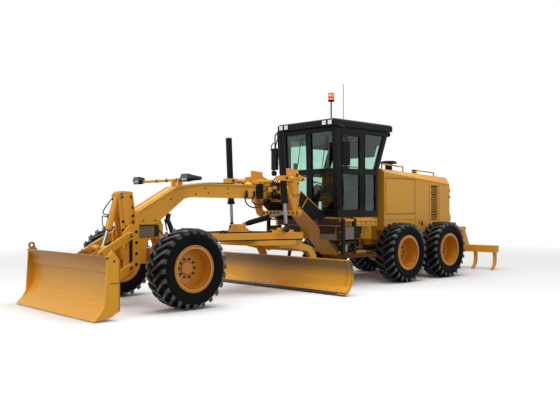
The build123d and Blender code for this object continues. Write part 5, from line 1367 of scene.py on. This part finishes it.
def make_beam_hoses():
    shape = bmesh.new()
    for points in ([(4.215, 0.182, 1.835), (4.235, 0.200, 1.760), (4.270, 0.195, 1.665),
                    (4.180, 0.190, 1.560), (4.010, 0.190, 1.520),
                    (3.860, 0.190, 1.565), (3.760, 0.200, 1.680), (3.720, 0.235, 1.760)],
                   [(4.040, 0.182, 1.800), (4.052, 0.200, 1.740), (4.110, 0.195, 1.650),
                    (4.020, 0.190, 1.585), (3.890, 0.190, 1.590),
                    (3.800, 0.210, 1.650), (3.690, 0.235, 1.735)],
                   [(3.465, 0.240, 2.120), (3.560, 0.245, 2.000), (3.665, 0.245, 1.925),
                    (3.700, 0.245, 1.850)],
                   [(3.500, 0.215, 2.110), (3.625, 0.235, 2.010), (3.700, 0.230, 1.900),
                    (3.780, 0.215, 1.860), (3.845, 0.195, 1.800)],
                   [(3.440, 0.200, 2.060), (3.520, 0.230, 1.940), (3.560, 0.260, 1.860),
                    (3.600, 0.255, 1.760)],
                   [(3.440, 0.255, 1.980), (3.490, 0.265, 1.900), (3.500, 0.262, 1.820),
                    (3.560, 0.255, 1.740)],
                   [(3.150, 0.180, 1.760), (3.300, 0.245, 1.720), (3.460, 0.255, 1.712)],
                   [(3.110, 0.180, 1.720), (3.300, 0.250, 1.670), (3.500, 0.250, 1.690)]):
        bent_bar(shape, points, 0.0125, 3, 8)
    for points in ([(3.400, -0.200, 2.000), (3.600, -0.210, 1.900), (3.700, -0.200, 1.750),
                    (3.900, -0.190, 1.730)],
                   [(4.150, 0.040, 1.960), (4.250, 0.050, 1.985), (4.500, 0.060, 1.960),
                    (4.950, 0.080, 1.960), (5.250, 0.090, 1.935)]):
        bent_bar(shape, points, 0.0115, 2, 8)
    return shape


add_piece("beam_hoses", make_beam_hoses(), HOSE, "front")

# ---- saddle trim -----------------------------------------------------------------------------------
# The cast saddle arms have raised edges round a sunken web, an eye at the top and bolted link lugs. These
# are thin steel castings on the arms' outer faces; dark discs of painted shade mark the holes and pins.
LINK_BAR = 1.430


def make_saddle_yellow():
    shape = bmesh.new()
    for side in (1, -1):
        y0, y1 = span(side, 0.529, 0.543)
        plate(shape, [(3.300, 1.405), (3.330, 1.400), (3.430, 1.690), (3.487, 2.160), (3.462, 2.170),
                      (3.402, 1.700)], "y", y0, y1, 0.003)
        plate(shape, [(3.237, 1.405), (3.262, 1.405), (3.262, 2.020), (3.237, 2.020)], "y", y0, y1, 0.003)
        turned(shape, (3.300, side * 0.527, 2.130), (0, side, 0), [(0, 0.060), (0.022, 0.060),
                                                                   (0.026, 0.055)], 24)
        plate(shape, [(3.245, 2.160), (3.245, 2.050), (3.150, 2.020), (3.060, 2.030), (3.040, 2.060),
                      (3.070, 2.095)], "y",
              *span(side, 0.480, 0.525), 0.006)
        turned(shape, (3.229, side * 0.500, 1.442), (0, side, 0), [(0, 0.055), (0.045, 0.055),
                                                                   (0.050, 0.048)], 20)
        block(shape, (3.262, 3.330), span(side, 0.528, 0.540), (1.395, 1.470), 0.006)
    # round bosses on the link bar's ends
    for y in (-0.52, 0.52):
        turned(shape, (3.205, y, LINK_BAR), (1, 0, 0), [(0, 0.070), (0.066, 0.070), (0.070, 0.062)], 24)
    return shape


add_piece("saddle_castings", make_saddle_yellow(), YELLOW, "front")


def make_saddle_dark():
    shape = bmesh.new()
    # Painted shade in the eye, the slot, the bosses' holes and the holes of the link bar.
    for side in (1, -1):
        turned(shape, (3.300, side * 0.548, 2.130), (0, side, 0), [(0, 0.033), (0.0065, 0.033),
                                                                   (0.0075, 0.028)], 20)
        plate(shape, [(3.325, 1.770), (3.352, 1.770), (3.362, 1.850), (3.335, 1.850)], "y",
              *span(side, 0.5285, 0.5325), 0.0)
        turned(shape, (3.229, side * 0.547, 1.442), (0, side, 0), [(0, 0.026), (0.006, 0.026),
                                                                   (0.008, 0.02)], 16)
        turned(shape, (3.120, side * 0.520, 2.055), (0, side, 0), [(0, 0.020), (0.010, 0.020),
                                                                   (0.012, 0.015)], 14)
    for y in (-0.4, -0.2, 0.0, 0.4):
        turned(shape, (3.2635, y, LINK_BAR), (1, 0, 0), [(-0.004, 0.0255), (0.0005, 0.0255),
                                                         (0.001, 0.020)], 20)
    for y in (-0.3, -0.1, 0.1, 0.3, 0.47, -0.47):
        turned(shape, (3.262, y, LINK_BAR), (1, 0, 0), [(-0.001, 0.021), (0.0012, 0.021),
                                                        (0.0014, 0.016)], 16)
    return shape


add_piece("saddle_hole_shade", make_saddle_dark(), SEAL, "front")
bolt_rows("saddle_bolts", "front", both([
    ((3.290, 0.540, 1.450), (3.305, 0.540, 1.415), 2, "y"), ((3.250, 0.543, 1.980),
                                                             (3.250, 0.543, 1.560), 3, "y"),
    ((3.470, 0.640, 2.095), (3.540, 0.640, 2.095), 2, "y"), ((3.470, 0.640, 2.040), (3.540, 0.640, 2.040), 2,
                                                             "y")]), 0.016, 0.012)

# ---- front guards and ladders ----------------------------------------------------------------------
# Dark guard panels stand on each side of the frame's slope, their edges folded over in yellow. The
# ladders are black channels with a tread plate between them; tube steps hang from the platform behind.
LADDER_RAILS, RAIL_HALF, STEP_Y, FRAME_SIDE = (2.240, 2.560), 0.036, 0.620, 0.2585


def make_guard_panels():
    shape = bmesh.new()
    for side in (1, -1):
        plate(shape, [(3.120, 1.840), (2.660, 1.530), (2.400, 1.355), (2.560, 1.300), (2.830, 1.290),
                      (3.205, 1.575)], "y",
              *span(side, 0.472, 0.478), 0.0)
        plate(shape, [(2.950, 1.820), (2.450, 1.500), (2.400, 1.355), (2.640, 1.285), (3.030, 1.545)], "y",
              *span(side, 0.296, 0.302), 0.0)
    return shape


add_piece("guard_panels", make_guard_panels(), SEAL, "front")


def make_guard_edges():
    shape = bmesh.new()
    for side in (1, -1):
        y = side * 0.480
        for points in ([(3.127, 1.844), (2.664, 1.533)], [(3.211, 1.575), (2.826, 1.277)],
                       [(3.092, 1.525), (2.959, 1.694)],
                       [(3.127, 1.844), (3.150, 1.830), (3.205, 1.600), (3.211, 1.575)]):
            bent_bar(shape, [(x, y, z) for x, z in points], 0.009, 0, 6)
        bent_bar(shape, [(2.960, side * 0.300, 1.830), (2.446, side * 0.300, 1.505)], 0.008, 0, 6)
    return shape


add_piece("guard_edges", make_guard_edges(), YELLOW, "front")


def make_ladder_rails():
    shape = bmesh.new()
    for side in (1, -1):
        for x in LADDER_RAILS:
            block(shape, (x - RAIL_HALF, x + RAIL_HALF), span(side, 1.006, 1.064), (0.643, 1.312), 0.004)
            block(shape, (x - RAIL_HALF, x + RAIL_HALF), span(side, 0.960, 1.064), (1.300, 1.318), 0.004)
        # bent bars from the rails' tops in to the platform
        bent_bar(shape, [(2.585, side * 1.035, 1.250), (2.590, side * 1.030, 1.330),
                         (2.500, side * 0.980, 1.345), (2.460, side * 0.960, 1.335)], 0.016, 3)
        bent_bar(shape, [(2.250, side * 1.035, 1.250), (2.240, side * 1.030, 1.320),
                         (2.320, side * 0.980, 1.345), (2.380, side * 0.960, 1.335)], 0.016, 3)
    return shape


add_piece("ladder_rails", make_ladder_rails(), BLACK, "front")
TREAD_PLATE = finish_material("tread_plate", (0.20, 0.155, 0.115), 0.5, metal=0.3, scale=40.0, tone=0.35,
                              gloss=0.2, bump=0.5, distance=0.003, specular=0.3)


def make_tread_plates():
    shape = bmesh.new()
    for side in (1, -1):
        block(shape, (2.277, 2.523), span(side, 1.056, 1.062), (0.925, 1.160), 0.002)
        for k in range(7):
            block(shape, (2.281, 2.519), span(side, 1.0615, 1.066),
                  (0.940 + k * 0.032, 0.950 + k * 0.032), 0.001)
    return shape


add_piece("tread_plates", make_tread_plates(), TREAD_PLATE, "front")


def make_platform_trim():
    shape = bmesh.new()
    # Two dark lines of painted shade in the seams along the platform's side.
    for side in (1, -1):
        for z0, z1 in ((1.252, 1.262), (1.198, 1.204)):
            block(shape, (1.440, 2.130), span(side, 0.949, 0.9525), (z0, z1), 0.0)
    return shape


add_piece("platform_seam_shade", make_platform_trim(), SEAM_SHADE, "front")
bolt_rows("platform_bolts", "front", both([((1.480, 0.952, 1.228), (2.080, 0.952, 1.228), 5, "y"),
                                           ((1.470, 0.952, 1.315), (1.530, 0.952, 1.315), 2, "y")]),
                                           0.013, 0.012)


def make_tube_steps():
    shape = bmesh.new()
    for side in (1, -1):
        bent_bar(shape, [(1.785, side * STEP_Y, 0.646), (1.420, side * STEP_Y, 0.629)], 0.034, 0, 16)
        bent_bar(shape, [(1.670, side * 0.707, 0.992), (1.605, side * 0.707, 0.990)], 0.017, 0, 10)
        bent_bar(shape, [(1.670, side * 0.707, 0.936), (1.605, side * 0.707, 0.933)], 0.012, 0, 8)
    return shape


add_piece("tube_steps", make_tube_steps(), YELLOW, "front")
# Brown plates are the yellow enamel with painted shade, where it faces down and away from the light.
BROWN_PLATE = finish_material("shaded_plate", (0.185, 0.135, 0.098), 0.45, scale=6.0, tone=0.2, gloss=0.15,
                              bump=0.05, specular=0.3)
# A near-black brown that is painted shade under the platform and in the frame's recesses.
FRAME_SHADE = finish_material("frame_recess_shade", (0.030, 0.018, 0.008), 0.55, scale=8.0, tone=0.5, gloss=0.2,
                             bump=0.1, specular=0.2)


def make_frame_sides():
    """Dark plates of painted shade in the recesses of the frame's sides below the cab, and what hangs in
    shade there painted dark.
    """
    shape = bmesh.new()
    for side in (1, -1):
        y = span(side, FRAME_SIDE, 0.2625)
        plate(shape, [(1.180, 0.585), (1.770, 0.585), (2.420, 1.220), (2.420, 1.310), (1.180, 1.310)],
              "y", *y, 0.0)
        # painted shade on the sides of the boxes under the platform, on the hangers of the tube step and on
        # the ladder's lower rungs
        block(shape, (1.620, 2.378), span(side, 0.699, 0.7025), (0.905, 1.165), 0.0)
        block(shape, (2.3795, 2.3835), span(side, 0.270, 0.690), (1.010, 1.168), 0.0)
        block(shape, (2.4335, 2.4375), span(side, 0.280, 0.880), (1.180, 1.318), 0.0)
        for x in (1.480, 1.740):
            bent_bar(shape, [(x, side * STEP_Y, 0.640), (x, side * STEP_Y, 0.780), (x, side * 0.610, 0.915)],
                     0.014, 1, 8)
        for z in (0.654, 0.854):
            block(shape, (2.274, 2.526), span(side, 0.958, 1.0625), (z - 0.001, z + 0.028), 0.002)
    return shape


add_piece("frame_painted_shade", make_frame_sides(), FRAME_SHADE, "front")


def make_struts():
    shape = bmesh.new()
    # Brown plates of painted shade on the sloping strut and on the boxes under the platform.
    for side in (1, -1):
        y = span(side, FRAME_SIDE, 0.2725)
        plate(shape, [(1.812, 0.563), (2.690, 1.405), (2.800, 1.500), (2.690, 1.500), (2.560, 1.405),
                      (1.700, 0.563)], "y", *y, 0.003)
        plate(shape, [(2.250, 1.050), (2.100, 1.130), (2.020, 1.130), (1.930, 0.900), (2.000, 0.790)],
              "y", *y, 0.003)
        block(shape, (2.379, 2.3845), span(side, 0.265, 0.695), (0.903, 1.010), 0.0)
        block(shape, (2.150, 2.225), span(side, 0.700, 0.706), (0.905, 1.165), 0.002)
    return shape


add_piece("frame_strut_shade", make_struts(), BROWN_PLATE, "front")

# ---- blade and circle trim -------------------------------------------------------------------------
# The moldboard's cutting edge is hardened steel, bolted through the lower lip; its end bits are let in
# beside a welded seam. Rubber boots keep grit out of the lift cylinders' ball ends.
EDGE_STEEL = finish_material("edge_steel", (0.055, 0.060, 0.070), 0.42, metal=0.7, scale=10.0, tone=0.35,
                             gloss=0.2, bump=0.1, distance=0.002, specular=0.4)


def make_edges():
    shape = bmesh.new()
    plate(shape, [(3.4105, 0.0125), (3.4255, 0.0275), (3.3876, 0.0650), (3.3835, 0.0610)], "y", -1.6475,
          1.6475, 0.001)
    for side in (1, -1):
        plate(shape, [(3.4185, 0.0120), (3.4335, 0.0275), (3.3981, 0.0650), (3.3940, 0.0610)], "y",
              *span(side, 1.651, 1.8285), 0.001)
    return shape


add_piece("cutting_edges", make_edges(), EDGE_STEEL, "moldboard")


def blade_face(z, bottom=(3.395, 0.025), middle=(3.215, 0.330), top=(3.290, 0.620)):
    """Station of the moldboard's hollow face at a height, from the circle through its three points."""
    (ax, az), (bx, bz), (cx, cz) = bottom, middle, top
    d = 2 * (ax * (bz - cz) + bx * (cz - az) + cx * (az - bz))
    a2, b2, c2 = ax * ax + az * az, bx * bx + bz * bz, cx * cx + cz * cz
    ux = (a2 * (bz - cz) + b2 * (cz - az) + c2 * (az - bz)) / d
    uz = (a2 * (cx - bx) + b2 * (ax - cx) + c2 * (bx - ax)) / d
    return ux - math.sqrt((ax - ux) ** 2 + (az - uz) ** 2 - (z - uz) ** 2)


def make_blade_seam_shade():
    shape = bmesh.new()
    # Thin dark strips of painted shade on the hollow face where the end bits meet the moldboard.
    heights = [0.165 + 0.0445 * k for k in range(11)]
    for side in (1, -1):
        for y in (1.700, 1.812):
            low, high = span(side, y - 0.003, y + 0.003)
            plate(shape, [(blade_face(z) - 0.002, z) for z in heights] + [(blade_face(z) + 0.0025,
                                                                           z) for z in reversed(heights)],
                  "y", low, high, 0.0)
    return shape


add_piece("blade_seam_shade", make_blade_seam_shade(), SEAM_SHADE, "moldboard")


def make_blade_lip():
    shape = bmesh.new()
    bent_bar(shape, [(3.281, -1.826, 0.610), (3.281, 1.826, 0.610)], 0.0115, 0, 10)
    return shape


add_piece("blade_lip", make_blade_lip(), YELLOW, "moldboard")
bolt_rows("edge_bolts", "moldboard", [((3.360, -1.58, 0.092), (3.360, 1.58, 0.092), 16, "x"),
                                      ((3.368, 1.69, 0.094), (3.368, 1.79, 0.094), 2, "x"),
                                      ((3.368, -1.79, 0.094), (3.368, -1.69, 0.094), 2, "x")], 0.012,
                                      0.016, YELLOW)
bolt_rows("drawbar_bolts", "drawbar", both([((3.560, 0.628, 1.125), (3.660, 0.628, 1.125), 2, "z"),
                                            ((3.890, 0.628, 1.125), (3.925, 0.628, 1.125), 2, "z")])
          + [((4.150, -0.150, 1.120), (4.150, 0.150, 1.120), 4, "z"),
             ((4.340, -0.150, 1.120), (4.340, 0.150, 1.120), 4, "z")], 0.014, 0.013)


DRAWBAR_SLOPE, DRAWBAR_TIP = 0.3046, 5.890


def make_drawbar_blacks():
    shape = bmesh.new()
    for side in (1, -1):
        # hose clips and pipes along the drawbar's sides
        bent_bar(shape, [(3.700, side * 0.520, 1.092), (4.300, side * 0.380, 1.092),
                         (4.900, side * 0.250, 1.092)], 0.012, 1, 8)
        for t in (0.1, 0.5, 0.9):
            x, y = 3.70 + 1.2 * t, side * (0.520 - 0.270 * t)
            block(shape, (x - 0.02, x + 0.02), sorted((y - 0.022, y + 0.022)), (1.078, 1.112), 0.004)
    for side in (1, -1):
        # dark strips of painted shade in the gap between the drawbar and the circle
        outline = [(x, side * (0.0535 + DRAWBAR_SLOPE * (DRAWBAR_TIP - x))) for x in (3.402, 5.00)]
        outline += [(x, side * (0.0250 + DRAWBAR_SLOPE * (DRAWBAR_TIP - x))) for x in (5.00, 3.402)]
        plate(shape, outline, "z", 0.9465, 0.9660, 0.0)
    return shape


add_piece("drawbar_blacks", make_drawbar_blacks(), BLACK, "drawbar")
LIFT_EYE_X, LIFT_EYE_Y, LIFT_EYE_Z = 3.778, 0.762, 1.150


def make_boot(side):
    """The rubber boot follows the rod's end down to its ball."""
    shape = bmesh.new()
    top, eye = Vector((3.887, side * 0.719, 2.880)), Vector((LIFT_EYE_X, side * LIFT_EYE_Y, LIFT_EYE_Z))
    up = (top - eye).normalized()
    profile = [(0.063, 0.022), (0.066, 0.040), (0.078, 0.041), (0.082, 0.034), (0.092, 0.037),
               (0.096, 0.0315)]
    turned(shape, tuple(eye), tuple(up), profile, 20)
    return shape


for side, name in SIDES:
    add_piece(f"lift_boot_{name}", make_boot(side), BLACK, f"lift_rod_{name}")


def make_ball_caps():
    """Black caps pressed over the balls that the lift rods hang on."""
    shape = bmesh.new()
    for side in (1, -1):
        part = bmesh.new()
        bmesh.ops.create_uvsphere(part, u_segments=24, v_segments=16, radius=0.0626)
        bmesh.ops.translate(part, verts=part.verts[:], vec=(x_at(LIFT_EYE_X), side * LIFT_EYE_Y, LIFT_EYE_Z))
        join_part(shape, part)
    return shape


add_piece("lift_ball_caps", make_ball_caps(), BLACK, "drawbar")

# ---- nose and tower trim ----------------------------------------------------------------------------
# Pin bosses of the dozer's tower with painted shade in its slots, a painted shadow line in the groove along
# the beam's top plate and under the beam, the neck below with its painted shade and hose bundle, and the
# glazed fronts of the work lamps.


def make_tower_bosses():
    shape = bmesh.new()
    for z in TOWER_PINS:
        for side in (1, -1):
            hoop(shape, (TOWER_PIN_X, side * 0.293, z), (0, 1, 0), 0.047, 0.009)
            turned(shape, (TOWER_PIN_X, side * 0.287, z), (0, side, 0),
                   [(0.0, 0.050), (0.0075, 0.050), (0.0085, 0.046)], 28)
    for side in (1, -1):
        # folded flange up the tower's rear edge
        plate(shape, [(NOSE + 0.022, 1.468), (NOSE + 0.045, 1.468), (NOSE + 0.092, 1.776),
                      (NOSE + 0.072, 1.776)], "y",
              *span(side, 0.109, 0.128), 0.003)
    return shape


add_piece("tower_bosses", make_tower_bosses(), YELLOW, "front")


def make_nose_shadows():
    shape = bmesh.new()
    # Painted shadow: a line below the beam's top plate, a line under the beam, a dark slot on the tower's
    # side and a pin hole.
    for side in (1, -1):
        plate(shape, [(6.440, 1.4740), (5.712, 1.8785), (5.200, 1.9510), (5.200, 1.9535), (5.712, 1.8815),
                      (6.440, 1.4775)], "y",
              *span(side, 0.096, 0.104), 0.0)
        block(shape, (6.128, 6.449), span(side, 0.1305, 0.1525), (1.247, 1.2595), 0.002)
        plate(shape, [(NOSE + 0.120, 0.700), (NOSE + 0.180, 0.660), (NOSE + 0.180, 1.030),
                      (NOSE + 0.120, 1.075)], "y",
              *span(side, 0.1985, 0.2030), 0.002)
        turned(shape, (NOSE + 0.250, side * 0.114, 1.690), (0, side, 0),
               [(0, 0.016), (0.012, 0.016), (0.014, 0.01)], 14)
    return shape


add_piece("nose_shadow_strips", make_nose_shadows(), SEAL, "front")


def make_neck_plates():
    shape = bmesh.new()
    # Brown plates of painted shade on the sides of the neck below the beam.
    for side in (1, -1):
        plate(shape, [(6.155, 1.045), (6.440, 1.045), (6.440, 1.246), (6.155, 1.246)], "y",
              *span(side, 0.1295, 0.1325), 0.001)
    return shape


add_piece("neck_shade_plates", make_neck_plates(), BROWN_PLATE, "front")


def make_neck_hoses():
    shape = bmesh.new()
    for side in (1, -1):
        for x in (6.128, 6.098, 6.066):
            bent_bar(shape, [(x, side * 0.142, 1.255), (x - 0.006, side * 0.150, 1.170),
                             (x + 0.004, side * 0.148, 1.060)], 0.012, 2, 8)
    bent_bar(shape, [(5.800, 0.060, 1.430), (5.830, 0.060, 1.330), (5.770, 0.060, 1.230),
                     (5.735, 0.060, 1.120)], 0.040, 2, 12)
    bent_bar(shape, [(5.900, 0.090, 1.340), (5.880, 0.090, 1.250), (5.850, 0.080, 1.150)], 0.012, 2, 8)
    return shape


add_piece("neck_hoses", make_neck_hoses(), HOSE, "front")
LAMP_GLAZE = finish_material("lamp_glaze", (0.075, 0.080, 0.085), 0.16, scale=50.0, tone=0.3, gloss=0.1,
                             bump=0.2, specular=0.6)


def make_lamp_glazing():
    shape = bmesh.new()
    for y in LAMP_PLACES:
        outline = [(y + a * 0.885, LAMP_HEIGHT + b * 0.885) for a, b in LAMP_OUTLINE]
        plate(shape, outline, "x", FRONT_AXLE - 0.4515, FRONT_AXLE - 0.4400, 0.004)
    return shape


add_piece("lamp_glazing", make_lamp_glazing(), LAMP_GLAZE, "front")
